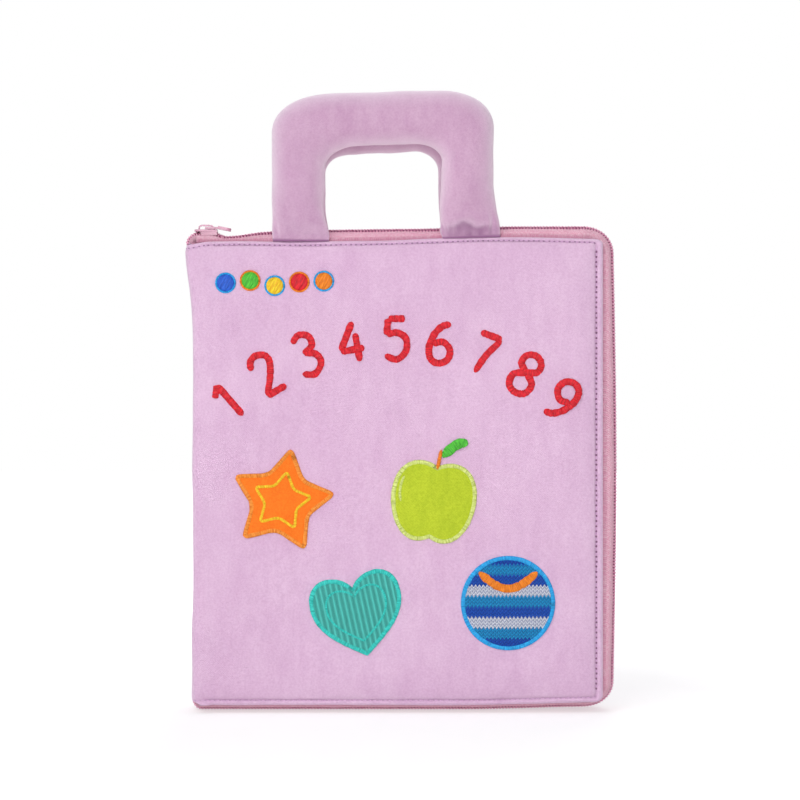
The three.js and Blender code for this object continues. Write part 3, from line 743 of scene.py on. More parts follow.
# Section of a cover's sewn edge, from where its cloth is turned in behind to the flat middle
JACKET_EDGE = [
    (2.6, 7.0), (1.1, 7.0), (0.2, 6.5), (-0.1, 5.6), (0.1, 4.6), (0.9, 3.8), (1.9, 3.4), (2.9, 3.7),
    (3.7, 4.5), (4.3, 4.1), (5.2, 3.2), (7.2, 2.3), (10, 1.55), (15, 0.75), (22, 0.25), (32, 0.0),
]
GROOVE_INSET = 3.7
GROOVE_DEPTH = 4.5
SEAM_INSETS = {"head": 1.9, "fore": 3.6, "foot": 2.7}  # how far in from each edge its stitches run
LIP_SETTLE = 12
SPINE_LIP_SHARE = 0.12  # how deep the lip still lies where it crosses the spine
LIP_RUN_OUT = {"head": 20, "foot": 4}  # over which length it comes to its whole depth
TURNED_IN_DEPTH = 6.9  # from here on the cloth lies turned in behind the lip
RIM_RUFFLE = 0.35
FOOT_CORNER, FOOT_CORNER_REACH = 3.6, 11
PUCKER_SPOT, PUCKER_SPREAD = 0.66, 0.16  # as shares of the rings
PUCKER_PITCH = 5.6
# Painted shade on the cloth: at the stitches' groove, and at the lip's rim from a depth on
GROOVE_SHADE, GROOVE_HALF_WIDTH, GROOVE_SHADE_DEPTH = 0.1, 0.75, 3.9
RIM_SHADE, RIM_WIDTH, RIM_START = 0.4, 1, 5.2

# From the spine's middle round to the cover: outer and inner skin, each as x and y
FOLD = [
    (0.0, 0.0, 6.0, 0.0), (0.1, 4.0, 6.0, 4.0), (0.4, 8.0, 6.0, 8.0), (0.9, 11.4, 6.0, 11.0),
    (1.5, 13.6, 6.0, 12.6), (2.1, 14.8, 6.1, 13.4), (1.3, 16.0, 6.3, 14.0), (0.5, 17.4, 6.7, 14.5),
    (0.2, 19.0, 7.3, 14.8), (0.9, 20.7, 8.4, 14.95), (2.8, 21.7, 10.0, 15.0), (6.0, 22.0, 12.0, 15.0),
    (11.0, 22.0, 15.0, 15.0), (17.0, 22.0, 19.0, 15.0), (24.0, 22.0, 24.0, 15.0),
]
FOLD_STEPS = 3
COVER_STEP = 2.3
FOLD_COLUMN_GAP = 0.001  # in the plain panel, where the fold's columns only need an order

# Middles of the patches, as shares of the cover's width and height
PATCH_SPOTS = {
    "star": (0.225, 0.44), "heart": (0.41, 0.2), "apple": (0.595, 0.45), "ball": (0.775, 0.22),
}
PATCH_REACH = 27
PATCH_DRAW, PATCH_DRAW_WIDTH = 0.45, 8
SWAY_REACH = 70
LINING_SWAY = 0.25  # the lining's share of the spine edge's sway
LINING_INSET = 2
LINING_BORDER = 16
LINING_GAP = 0.25  # between the lining and the padding
SPINE_INSIDE = 12  # up to where the lining lies along the spine
FOOT_SAG = 0.6
FOOT_SAG_REACH = 30
# How far the foot stands off the ground at its fore corner, from where along it, over which length
# and up to which height
FOOT_LIFT = 1.5
FOOT_LIFT_START, FOOT_LIFT_REACH, FOOT_LIFT_HEIGHT = 150, 76, 40
# How far the spine edge draws in at mid height, leans out at the head and bulges above the foot
SPINE_DRAW = 1.65
HEAD_LEAN, HEAD_LEAN_REACH = 4.06, 28
FOOT_BULGE, FOOT_BULGE_HEIGHT, FOOT_BULGE_REACH = 0.9, 24, 32


def head_pull(x):
    return sum(height * math.exp(-((x - middle) / reach) ** 2) for middle, height, reach in HEAD_PULLS)


def top_rise(x):
    """The top edge climbs a little towards the fore edge."""
    return TOP_RISE * smooth(x / COVER_WIDTH) - TOP_SETTLE + head_pull(x)


def head_droop(x, y):
    """How far the head of a cover's face sinks beside the spine."""
    start, whole = DROOP_DEPTHS
    return HEAD_DROOP * (1 - smooth(x / HEAD_DROOP_REACH)) * smooth((abs(y) - start) / (whole - start))


def left_sway(x, z):
    """The spine edge draws in at mid height, leans out at the head and bulges above the foot."""
    lean = HEAD_LEAN * math.exp(-((COVER_TOP - z) / HEAD_LEAN_REACH) ** 2)
    bulge = FOOT_BULGE * math.exp(-((z - COVER_BOTTOM - FOOT_BULGE_HEIGHT) / FOOT_BULGE_REACH) ** 2)
    return (SPINE_DRAW - lean - bulge) * (1 - smooth(x / SWAY_REACH))


def seam_shift(distance, edge):
    """How much nearer to its edge a point lies than on the plain section."""
    shift = GROOVE_INSET - SEAM_INSETS[edge]
    if distance < GROOVE_INSET:
        return shift * max(distance, 0) / GROOVE_INSET
    return shift * (1 - smooth((distance - GROOVE_INSET) / LIP_SETTLE))


def foot_lift(x, z):
    near = 1 - smooth((z - COVER_BOTTOM) / FOOT_LIFT_HEIGHT)
    return FOOT_LIFT * near * smooth((x - FOOT_LIFT_START) / FOOT_LIFT_REACH)


def on_panel(x, z):
    """Moves a point of the plain rectangle to where the sewn and filled cover has it."""
    foot, head, fore = z - COVER_BOTTOM, COVER_TOP - z, COVER_WIDTH - x
    if foot < head:
        z -= seam_shift(foot, "foot") + FOOT_SAG * (1 - smooth(foot / FOOT_SAG_REACH)) - foot_lift(x, z)
    else:
        z += seam_shift(head, "head")
    spread = FORE_SPREAD * smooth(1 - fore / SPREAD_REACH)
    return x + seam_shift(fore, "fore") + spread, z


def upper_share(z):
    """0 up to a cover's mid height, and from there to 1 at its head."""
    return smooth((z - COVER_BOTTOM) / COVER_HEIGHT * 2 - 1)


def lip_share(outer_x, z):
    """How much of the lip's depth is left: it runs out where the cloth rounds the spine."""
    reach = LIP_RUN_OUT["head" if z > COVER_BOTTOM + COVER_HEIGHT / 2 else "foot"]
    return lerp(SPINE_LIP_SHARE, 1, smooth((outer_x - 1) / reach))


def foot_rounding(outer_x, z):
    """How far the cover's foot is drawn in round the zip's end at the spine."""
    low = 1 - smooth((z - COVER_BOTTOM) / FOOT_CORNER)
    return FOOT_CORNER * low * (1 - smooth(outer_x / FOOT_CORNER_REACH))


def face_swell(x, z, side):
    """Slack in a cover's padding: how far the face stands out, in millimetres."""
    broad = 0.85 * wobble(x, side * 40, z, 62, 1) + 0.34 * wobble(x, side * 40, z, 24, 2)
    return broad - patch_draw(x, z) if side < 0 else broad


def patch_draw(x, z):
    """How far the sewing round the patches draws the front cover in."""
    draw = 0.0
    for share_x, share_z in PATCH_SPOTS.values():
        away = math.hypot(x - COVER_WIDTH * share_x, z - COVER_BOTTOM - COVER_HEIGHT * share_z)
        draw += PATCH_DRAW * math.exp(-((away - PATCH_REACH) / PATCH_DRAW_WIDTH) ** 2)
    return draw


def pucker(along, ring, rings):
    """The cloth gathers a little beside the stitches."""
    near = math.exp(-((ring / rings - PUCKER_SPOT) / PUCKER_SPREAD) ** 2)
    regular = 0.26 * math.sin(along * TURN / PUCKER_PITCH)
    return near * (regular + 0.3 * wobble(along, ring * 0.8, 3, 9, 4))


def groove_shade(inset, depth):
    """Painted shade of the cloth: a little along the stitches, and more where the lip's rim turns in
    over the tape.
    """
    if abs(inset - GROOVE_INSET) < GROOVE_HALF_WIDTH and depth > GROOVE_SHADE_DEPTH:
        return GROOVE_SHADE
    return RIM_SHADE if inset < RIM_WIDTH and RIM_START < depth < TURNED_IN_DEPTH else 0.0


def jacket_point(fold_place, u, v, depth, ring, rings, side):
    """A jacket's point, from its place in the plain panel and round the fold."""
    outer_x, outer_y, inner_x, inner_y = fold_place
    z = COVER_BOTTOM + v
    along = z if min(v, COVER_HEIGHT - v) > COVER_WIDTH - u else outer_x + outer_y
    if depth <= TURNED_IN_DEPTH:
        depth *= lip_share(outer_x, z)
    swell = face_swell(outer_x, z, side) * smooth(ring / rings * 1.6 - 0.6) * smooth(outer_y / FACE)
    share = (depth - swell - pucker(along, ring, rings)) / (FACE - INSIDE)
    x, y = lerp(outer_x, inner_x, share), lerp(outer_y, inner_y, share)
    high = upper_share(z)
    x, z = on_panel(x + foot_rounding(outer_x, z), z)
    z += RIM_RUFFLE * wobble(x, side * 9, z, 30, 5) * (1 - smooth(ring / rings * 2))
    z += (top_rise(x) - head_droop(x, y)) * high
    return x + left_sway(x, z), side * y, z


def jacket_half(name, side):
    """The cloth of one cover and half the spine. side is -1 for the front and 1 for the back."""
    curve = edge_curve(JACKET_EDGE, 2)
    rings = len(curve["inset"]) - 1
    fold = spline(FOLD, FOLD_STEPS)
    columns = [FOLD[-1][0] - FOLD_COLUMN_GAP * k for k in reversed(range(len(fold)))]
    rows = panel_grid(COVER_WIDTH, COVER_HEIGHT, curve, COVER_STEP, CORNER_RADIUS, columns)
    points, painted_shades = [], []
    for row in rows:
        for k, (u, v, depth, ring) in enumerate(row):
            fold_place = fold[k] if k < len(fold) else (u, FACE, u, INSIDE)
            points.append(jacket_point(fold_place, u, v, depth, ring, rings, side))
            # painted shade along the stitches and at the lip's rim
            painted_shades.append(groove_shade(curve["inset"][ring], curve["depth"][ring]))
    obj = mesh_object(name, points, grid_faces(len(rows), len(rows[0]), flip=side < 0), jacket_cloth)
    mark_painted_shade(obj, painted_shades)
    return obj


def fold_line(depth, end_inset, z):
    """Points of the cover's section at a depth and height, from the spine's middle to the fore edge."""
    line = []
    for outer_x, outer_y, inner_x, inner_y in spline(FOLD, FOLD_STEPS):
        share = depth * lip_share(outer_x, z) / (FACE - INSIDE)
        line.append((lerp(outer_x, inner_x, share), lerp(outer_y, inner_y, share), z))
    start, end = FOLD[-1][0], COVER_WIDTH - end_inset
    count = 90
    line += [(lerp(start, end, k / count), FACE - depth, z) for k in range(1, count + 1)]
    return line


def edge_stitch_paths(side):
    """Where a cover's edge stitches run at its head, fore edge and foot, which meet in tight corners."""
    depth = GROOVE_DEPTH - STITCH_LIFT
    right, y = COVER_WIDTH - GROOVE_INSET, FACE - depth
    low, high = COVER_BOTTOM + GROOVE_INSET, COVER_TOP - GROOVE_INSET
    turn = STITCH_TURN
    corner_steps, fore_steps = 6, 100

    def corner(middle_z, way):
        angles = [way * math.pi / 2 * (1 - k / corner_steps) for k in range(1, corner_steps + 1)]
        return [(right - turn + turn * math.cos(a), y, middle_z + turn * math.sin(a)) for a in angles]

    plain = {
        "head": fold_line(depth, GROOVE_INSET + turn, high) + corner(high - turn, 1),
        "fore": [(right, y, lerp(high - turn, low + turn, k / fore_steps))
                 for k in range(fore_steps + 1)],
        "foot": fold_line(depth, GROOVE_INSET + turn, low) + corner(low + turn, -1),
    }
    return {edge: [sewn_place(x, y, z, side) for x, y, z in line] for edge, line in plain.items()}


def sewn_place(x, y, z, side):
    """Where a point of a cover's plain section comes to lie on the sewn and filled cover."""
    high = upper_share(z)
    x, z = on_panel(x, z)
    return x + left_sway(x, z), side * y, z + (top_rise(x) - head_droop(x, y)) * high


def hinge_stitch_path(side):
    x, y, end_gap, count = 1.9, 14.8, 5, 60
    levels = [lerp(COVER_BOTTOM + end_gap, COVER_TOP - end_gap, k / count) for k in range(count + 1)]
    return [(x + left_sway(x, z), side * y, z) for z in levels]


def lining(name, side):
    """The inner skin of one cover and half the spine, with a flat turned border."""
    count, levels = 60, 74
    columns = [(inner_x, inner_y) for _, _, inner_x, inner_y in spline(FOLD, FOLD_STEPS)]
    start, end = FOLD[-1][2], COVER_WIDTH - LINING_INSET
    columns += [(lerp(start, end, k / count), INSIDE) for k in range(1, count + 1)]
    rows = []
    for level in range(levels + 1):
        share = level / levels
        z = lerp(COVER_BOTTOM + LINING_INSET, COVER_TOP - LINING_INSET, share)
        high = smooth(share * 2 - 1)
        row = []
        for x, y in columns:
            edge = min(z - COVER_BOTTOM, COVER_TOP - z, COVER_WIDTH - x) - LINING_INSET
            slack = smooth(edge / LINING_BORDER)
            swell = 0.3 * slack * (1 + wobble(x, 5, z, 40, 6)) + 0.1 * slack * wobble(x, 1, z, 14, 7)
            inward = LINING_GAP + swell * smooth((y - SPINE_INSIDE) / 3)
            on_spine = 1 - smooth((y - SPINE_INSIDE - 0.4) / 2.4)
            row.append((
                x + inward * on_spine + LINING_SWAY * left_sway(x, z),
                side * (y - inward * (1 - on_spine)),
                z + top_rise(x) * high,
            ))
        rows.append(row)
    return grid_mesh(name, rows, lining_cloth, flip=side > 0)


COVERS = (("front", -1), ("back", 1))


def fold_blend(obj):
    """Bakes the piece's place into its mesh."""
    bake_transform(obj)


for face, side in COVERS:
    jacket = jacket_half(f"{face}_jacket", side)
    fold_blend(jacket)
    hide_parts(f"{face}_cover_cloth", f"{face}_cover_padding")
    if side < 0:
        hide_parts("spine_cloth", "spine_padding")

    inner = lining(f"{face}_lining", side)
    fold_blend(inner)
    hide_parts(f"{face}_cover_lining")
    if side < 0:
        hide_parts("spine_lining")

    for edge, stitch_path in edge_stitch_paths(side).items():
        seam = stitches(f"{face}_{edge}_stitches", stitch_path, lilac_thread)
        # dark tubes between the stitches, painted shade of the needle pits
        painted_pit_shade = stitches(f"{face}_{edge}_needle_pit_shade", stitch_path, pit_shade_cloths[edge], length=PIT_LENGTH,
                        radius=PIT_RADIUS[edge], shift=1)
        for threads in (seam, painted_pit_shade):
            fold_blend(threads)
    hinge = stitches(f"{face}_hinge_stitches", hinge_stitch_path(side), lilac_thread)
    fold_blend(hinge)

# Zip


def zip_route(step):
    """Stations along the covers' open edges: each its place on the edge, its way out and its reach.

    They come in two stretches: the one that the slider runs along, and the rest.
    """
    over, under = ZIP_BENDS["top"], ZIP_BENDS["bottom"]
    top, side, bottom = ZIP_REACH["top"], ZIP_REACH["side"], ZIP_REACH["bottom"]
    high, low = COVER_TOP - over, COVER_BOTTOM + under
    bend_steps = 14
    stations = []

    def straight(x0, z0, x1, z1, out, reach, bow=0):
        count = max(int(math.hypot(x1 - x0, z1 - z0) / step), 1)
        for k in range(count):
            t = k / count
            bowed = reach + bow * math.sin(math.pi * t)
            stations.append([lerp(x0, x1, t), lerp(z0, z1, t), *out, bowed])

    def bend(radius, middle_z, start_angle, reaches):
        for k in range(bend_steps):
            t = k / bend_steps
            angle = start_angle - math.pi / 2 * t
            out_x, out_z = math.cos(angle), math.sin(angle)
            stations.append([COVER_WIDTH - radius + radius * out_x, middle_z + radius * out_z,
                             out_x, out_z, lerp(*reaches, smooth(t))])

    straight(ZIP_START, COVER_TOP, COVER_WIDTH - over, COVER_TOP, (0, 1), top)
    bend(over, high, math.pi / 2, (top, side))
    top_count = len(stations)
    straight(COVER_WIDTH, high, COVER_WIDTH, low, (1, 0), side, FORE_BOW)
    bend(under, low, 0, (side, bottom))
    straight(COVER_WIDTH - under, COVER_BOTTOM, ZIP_START, COVER_BOTTOM, (0, -1), bottom)
    stations.append([ZIP_START, COVER_BOTTOM, 0, -1, bottom])
    return {"top": stations[:top_count + 1], "fore_and_foot": stations[top_count:]}


def crest(station):
    """Where the chain's top plainly runs at a station, as x and z."""
    x, z, out_x, out_z, reach = station
    return x + out_x * reach, z + out_z * reach


def chain_lift(x):
    """The chain hangs slack beside the slider and then climbs towards the fore edge."""
    width = DIP_WIDTH["near"] if x < DIP_PLACE else DIP_WIDTH["far"]
    dip = DIP_DEPTH * math.exp(-((x - DIP_PLACE) / width) ** 2)
    climb = CHAIN_CLIMB * (1 - math.exp(-max(x - CLIMB_START, 0) / CLIMB_REACH))
    return climb + FORE_CLIMB * smooth((x - FORE_CLIMB_START) / CLIMB_REACH) - dip


def zip_lift(x, z, share=1.0):
    """How far the zip stands over its plain route; share is 0 at the tape's seam and 1 at the chain."""
    return upper_share(z) * lerp(top_rise(x), chain_lift(x), share) + foot_lift(x, z)


# The tape's arch from its seam to the coil, in shares of the way across and of its height
TAPE_SKIN = [
    (0.0, -0.6), (0.03, 0.2), (0.1, 0.55), (0.25, 0.84), (0.45, 0.97), (0.6, 1.0), (0.8, 1.0),
    (1.0, 0.98),
]
TAPE_THICKNESS = 0.6
TAPE_RIPPLE = 0.22
TAPE_LIFT_REACH = 5  # over which the tape comes from its seam's own lift to the chain's

# One turn of the coil: place across the tape, level under the chain's top and lean along the zip
COIL_LOOP = [
    (3.3, -1.75, 0.25), (3.4, -1.0, 0.3), (2.95, -0.35, 0.2), (1.9, -0.05, 0.0),
    (0.7, -0.1, -0.1), (-0.15, -0.45, -0.2), (-0.3, -1.0, -0.3), (0.3, -1.6, -0.35),
]
COIL_WIRE = 0.62
COIL_SINK = 0.35
FILLER_DROP = 1.35
FILLER_PLACE = 1.8
FILLER_RADIUS = 0.75


def tape_mesh(name, stations, side, start=0.0):
    """A zip tape that arches from its seam between the cover's skins to the coil.

    start is how far along the whole tape it begins, and it gives how far along it ends.
    """
    skin = spline(TAPE_SKIN, 3)
    travelled = distances_along([crest(station) for station in stations])
    rows, uvs = [], []
    for (x, z, out_x, out_z, reach), distance in zip(stations, travelled):
        run = start + distance
        outer = []
        for across, arch in skin:
            y = lerp(TAPE_SEAM, TAPE_RIM, across)
            ripple = TAPE_RIPPLE * wobble(run, y, side * 3, 17, 8) * math.sin(math.pi * across)
            outer.append(((reach - TAPE_DROP) * arch + ripple, y))
        section = outer + [(out - TAPE_THICKNESS, y) for out, y in outer[::-1]]
        ring = []
        for out, y in section:
            px, pz = x + out_x * out, z + out_z * out
            share = smooth((TAPE_SEAM - y) / TAPE_LIFT_REACH)
            ring.append((px, side * y, pz + zip_lift(px, pz, share)))
        rows.append(ring)
        uvs += [(run, y) for _, y in section]
    tape = grid_mesh(name, rows, tape_cloth, uvs, closed_columns=True, flip=side > 0)
    return tape, start + travelled[-1]


def coil_turns(name, stations, side, start):
    """The coil's turns, one loop a pitch, which hook over the middle between the two tapes.

    start is how far along the first turn lies. It gives, too, how far past the end the next one lies.
    """
    travelled = distances_along([crest(station) for station in stations])
    loops = []
    distance = start
    while distance < travelled[-1]:
        span, share = span_at(travelled, distance)
        x, z, out_x, out_z, reach = (lerp(a, b, share) for a, b in zip(*stations[span:span + 2]))
        size = math.hypot(out_x, out_z)
        out_x, out_z = out_x / size, out_z / size
        along = Vector((out_z, 0, -out_x))
        out = Vector((out_x, 0, out_z))
        path = []
        for y, level, lean in COIL_LOOP:
            point = Vector((x, 0, z)) + out * (reach + level - COIL_SINK) + along * (lean * side)
            path.append((point.x, side * y, point.z + zip_lift(point.x, point.z)))
        loops.append(tube(path, COIL_WIRE, taper=0.25))
        distance += COIL_PITCH
    chain = joined_rings(name, loops + [filler_cord(stations, side)], coil_plastic)
    shade_filler(chain, len(stations))
    return chain, distance - travelled[-1]


def filler_cord(stations, side):
    """The cord that the coil's turns are wound on."""
    line = []
    for x, z, out_x, out_z, reach in stations:
        out = (reach - FILLER_DROP) / math.hypot(out_x, out_z)
        px, pz = x + out_x * out, z + out_z * out
        line.append((px, side * FILLER_PLACE, pz + zip_lift(px, pz)))
    return tube(line, FILLER_RADIUS, taper=0)


def shade_filler(chain, station_count):
    """Gives the cord, which is the mesh's last tube, its own material: a real cord, whose dark rose also
    paints the shade in the gaps between the turns.
    """
    chain.data.materials.append(filler_cord_with_painted_shade)
    cord_faces = (station_count - 1) * THREAD_SIDES + 2
    for face in list(chain.data.polygons)[-cord_faces:]:
        face.material_index = 1


# How the zip's end rounds the spine's corner: the middle of its turn, as its x and how far it lies
# inside the cover's edge, its reach towards the spine's side, and where it is tucked in, as an x and
# a drop
ZIP_CURL = {
    "top": {"x": 3.4, "rise": 0.0, "reach": 7.0, "tuck": (1.8, 2.6)},
    "bottom": {"x": 5.3, "rise": 1.3, "reach": 5.4, "tuck": (1.8, 2.0)},
}
END_LAP = 0.4  # how far the zip's end runs on into the covers' own stretch


def end_stations(edge):
    """The zip's end beside the spine: it turns round the corner, then runs on to the covers' own."""
    way, base = (1, COVER_TOP) if edge == "top" else (-1, COVER_BOTTOM)
    curl = ZIP_CURL[edge]
    middle, rise, near = curl["x"], curl["rise"], curl["reach"]
    tuck_reach, tuck_drop = middle - curl["tuck"][0], curl["tuck"][1]
    turn_steps, run_steps = 9, 14
    stations = [
        [middle, base - way * (rise + tuck_drop), -1, 0, tuck_reach],
        [middle, base - way * (rise + tuck_drop * 0.8), -1, 0, lerp(tuck_reach, near, 0.65)],
    ]
    for k in range(turn_steps):
        angle = math.pi / 2 * k / turn_steps
        out = (-math.cos(angle), way * math.sin(angle))
        reach = lerp(near, ZIP_REACH[edge] + rise, math.sin(angle) ** 2)
        stations.append([middle, base - way * rise, *out, reach])
    for k in range(run_steps + 1):
        raised = rise * (1 - smooth(k / run_steps * 2))
        x = lerp(middle, ZIP_START + END_LAP, k / run_steps)
        stations.append([x, base - way * raised, 0, way, ZIP_REACH[edge] + raised])
    return stations


def hang_zip(piece, body, node_name, run_along=False):
    """Hangs a piece of the zip on its body; what the slider runs along gets a mesh of its own."""
    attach(piece, body)
    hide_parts(node_name)
    if run_along:
        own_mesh(piece)


COIL_STARTS = {"front": 0.4, "back": 0.4 + COIL_PITCH / 2}
ROUTE_STEP = 1.5
for face, side in COVERS:
    run, turn_start = 0.0, COIL_STARTS[face]
    for stretch, stations in zip_route(ROUTE_STEP).items():
        tape, run = tape_mesh(f"{face}_{stretch}_tape", stations, side, run)
        chain, turn_start = coil_turns(f"{face}_{stretch}_coil", stations, side, turn_start)
        for kind, piece in (("tape", tape), ("coil", chain)):
            hang_zip(piece, f"{face}_cover", f"{face}_zip_{kind}", stretch == "top")
    for place_name, edge in (("head", "top"), ("foot", "bottom")):
        stations = end_stations(edge)
        tape, _ = tape_mesh(f"{place_name}_tape_end_{face}", stations, side)
        chain, _ = coil_turns(f"{place_name}_coil_end_{face}", stations, side, COIL_STARTS[face])
        for kind, piece in (("tape", tape), ("coil", chain)):
            hang_zip(piece, "spine", f"zip_{place_name}_{kind}_{face}", edge == "top")

PAINT_EDGE = 0.00028  # how far the paint rounds the casting's edges, in metres
for name in ("slider_body", "pull_tab"):
    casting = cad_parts[name]
    casting.data.materials.clear()
    casting.data.materials.append(slider_paint)
    rounding = casting.modifiers.new("soft edges", "BEVEL")
    rounding.width = PAINT_EDGE
    rounding.segments = 3
    rounding.limit_method = "ANGLE"
    rounding.harden_normals = True

# Handles

HANDLE_SIDES = 64
OUTER_BENDS = {"left": (31, 21), "right": (27, 22)}  # along the top and down the leg
INNER_BEND = (15, 12)
# Painted shade: a dark line along each root, where it goes into the seam
ROOT_SHADE = 0.95
ROOT_SHADE_BAND = (0.8, 1.0)  # the height that is dark all over, and over which the dark fades out
ROOT_PLANE = 17.2  # from the middle of the thickness to where the handle's root is sewn in
ROOT_FLARE = {"left": (-0.8, 2.6), "right": (4.2, -1.2)}  # at the root: outer side and inner side
# Heights over the root up to which it flares, moves over to its own plane, fills out and gathers most
FLARE_HEIGHT, PLANE_HEIGHT, FILL_HEIGHT, GATHER_HEIGHT = 26, 14, 34, 5
GATHER = {"left": 0.25, "right": 0.6}
TOP_LEAN = (-4.5, 0.8)  # how much the arch stands over its plain height at its left and right
SIDE_LEAN = {-1: 0.6, 1: -1.0}  # how far the front and the rear handle lean to the right at the top
HANDLE_FOLLOW = 0.9  # the share of the cover's own rise that the handle takes part in
TUCK_HEIGHT = 6.5  # the right leg's cloth is bunched into a tuck this high over its root
TUCK_SLANT, TUCK_RAGGED, TUCK_FADE = 2.2, 1.6, 2.4
TUCK_DEPTH = 1.4
# painted shade in the tuck, where the cloth is drawn in
TUCK_SHADE = 0.85
TUCK_BULGE, TUCK_BULGE_HEIGHT, TUCK_BULGE_REACH = 0.7, 3.2, 2.6  # over the tuck's edge


def leg_line(bend):
    """Stations from a leg's root round its bend to the arch's middle: outer point and inner point."""
    left, tube_width = HANDLE_LEFT, HANDLE_TUBE
    top = COVER_TOP + HANDLE_RISE
    root = COVER_TOP + 0.1
    outer_z, inner_z = top - bend[1], top - tube_width - INNER_BEND[1]
    line = []
    leg_steps, bend_steps, top_steps = 34, 20, 16
    for k in range(leg_steps):
        t = (k / leg_steps) ** 1.6
        line.append(((left, lerp(root, outer_z, t)), (left + tube_width, lerp(root, inner_z, t))))
    for k in range(bend_steps):
        angle = math.pi / 2 * k / bend_steps
        back, up = 1 - math.cos(angle), math.sin(angle)
        line.append(((left + bend[0] * back, outer_z + bend[1] * up),
                     (left + tube_width + INNER_BEND[0] * back, inner_z + INNER_BEND[1] * up)))
    middle = left + HANDLE_WIDTH / 2
    for k in range(top_steps):
        t = k / top_steps
        line.append(((lerp(left + bend[0], middle, t), top),
                     (lerp(left + tube_width + INNER_BEND[0], middle, t), top - tube_width)))
    return line


def handle_line():
    """Stations along the handle from its left root to its right one."""
    middle = HANDLE_LEFT + HANDLE_WIDTH / 2
    top = COVER_TOP + HANDLE_RISE
    left, right = leg_line(OUTER_BENDS["left"]), leg_line(OUTER_BENDS["right"])
    mirrored = [tuple((2 * middle - x, z) for x, z in station) for station in right]
    return left + [((middle, top), (middle, top - HANDLE_TUBE))] + mirrored[::-1]


def root_tuck(height, angle):
    """The tuck at the right leg's root: how far the cloth is drawn in, and how much painted shade it
    gets there.
    """
    c, d = math.cos(angle), math.sin(angle)
    edge = TUCK_HEIGHT - TUCK_SLANT * math.cos(angle + 0.5)
    edge += TUCK_RAGGED * wobble(4 * c, 4 * d, 0, 1.6, 23)
    under = 1 - smooth((height - edge) / TUCK_FADE + 0.5)
    bulge = TUCK_BULGE * math.exp(-((height - edge - TUCK_BULGE_HEIGHT) / TUCK_BULGE_REACH) ** 2)
    ruffle = wobble(9 * c, 9 * d, height / 3, 1.8, 24)
    drawn = TUCK_DEPTH * under * (0.75 + 0.35 * ruffle) - bulge
    return drawn, TUCK_SHADE * under * (0.7 + 0.3 * ruffle)


def handle_ring(station, share, side):
    """The tube's section at a station: its points, and the painted shade of the cloth at each of them.
    """
    (ox, oz), (ix, iz) = station
    leg = "right" if share > 0.5 else "left"
    height = (oz + iz) / 2 - COVER_TOP
    middle = Vector(((ox + ix) / 2, (oz + iz) / 2))
    across = Vector((ox - ix, oz - iz))
    half = across.length / 2
    across.normalize()
    low = 1 - smooth(height / FLARE_HEIGHT)
    outer_flare, inner_flare = ROOT_FLARE[leg]
    # painted shade along the root
    root_shade = ROOT_SHADE * (1 - smooth((height - ROOT_SHADE_BAND[0]) / ROOT_SHADE_BAND[1]))
    plane = lerp(ROOT_PLANE, HANDLE_PLANE, smooth(height / PLANE_HEIGHT))
    filled = smooth((height + 1) / FILL_HEIGHT) ** 0.75
    half_depth = lerp(HANDLE_ROOT_DEPTH, HANDLE_DEPTH, filled) / 2
    gathered = GATHER[leg] * math.exp(-((height - GATHER_HEIGHT) / GATHER_HEIGHT) ** 2)
    lean = smooth(height / HANDLE_RISE)
    points, creases = [], []
    for k in range(HANDLE_SIDES):
        angle = TURN * k / HANDLE_SIDES
        c, d = math.cos(angle), math.sin(angle)
        wide = math.copysign(abs(c) ** 0.92, c) * (half + low * (outer_flare if c > 0 else inner_flare))
        deep = math.copysign(abs(d) ** 0.95, d) * half_depth
        tuck, tuck_shade = root_tuck(height, angle) if leg == "right" else (0.0, 0.0)
        swell = gathered * (math.sin(9 * angle + side) + 0.7 * math.sin(17 * angle))
        swell += 0.55 * wobble(middle.x + 8 * c, 20 * d, middle.y, 27, 10 + side)
        swell += 0.22 * wobble(middle.x + 12 * c, 14 * d, middle.y, 11, 13 + side)
        swell *= smooth((height + 1) / 6)
        swell -= tuck * max(d, 0) * smooth((height + 1) / 3)
        # painted shade: the root's dark line, and the tuck's on the leg's front half
        creases.append(max(root_shade, tuck_shade * max(d, 0)))
        x = middle.x + across.x * (wide + c * swell)
        z = middle.y + across.y * (wide + c * swell)
        lifted = HANDLE_FOLLOW * (top_rise(x) - head_pull(x) * lean) + lean * lerp(*TOP_LEAN, share)
        points.append((x + lean * SIDE_LEAN[side], side * (plane + deep + d * swell), z + lifted))
    return points, creases


def handle_mesh(name, side):
    """A stuffed tube of cloth, pinched flat where it enters the seam and gathered just above it."""
    stations = handle_line()
    count, size = len(stations), HANDLE_SIDES
    rings = [handle_ring(station, s / (count - 1), side) for s, station in enumerate(stations)]
    rows = [points for points, _ in rings]
    faces = grid_faces(count, size, closed_columns=True, flip=side < 0)
    ends = [list(range(size)), [(count - 1) * size + k for k in range(size)]]
    faces += [ends[0][::-1], ends[1]] if side > 0 else [ends[0], ends[1][::-1]]
    tube_object = mesh_object(name, flatten(rows), faces, shaded_handle_cloth)
    mark_painted_shade(tube_object, flatten(creases for _, creases in rings))
    return tube_object, rows


def handle_seam_path(rows):
    """The tube's lengthwise seam lies on the side that faces the other handle."""
    hidden = HANDLE_SIDES * 3 // 4
    return [row[hidden] for row in rows[12:-12]]


for name, face, side in (("front_handle", "front", -1), ("rear_handle", "back", 1)):
    loop, rows = handle_mesh(f"{name}_tube", side)
    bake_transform(loop)
    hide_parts(f"{name}_cloth", f"{name}_stuffing")
    seam = stitches(f"{name}_seam", handle_seam_path(rows), lilac_thread, length=1.9, pitch=3.0,
                    radius=0.22)
    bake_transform(seam)

# Leaves

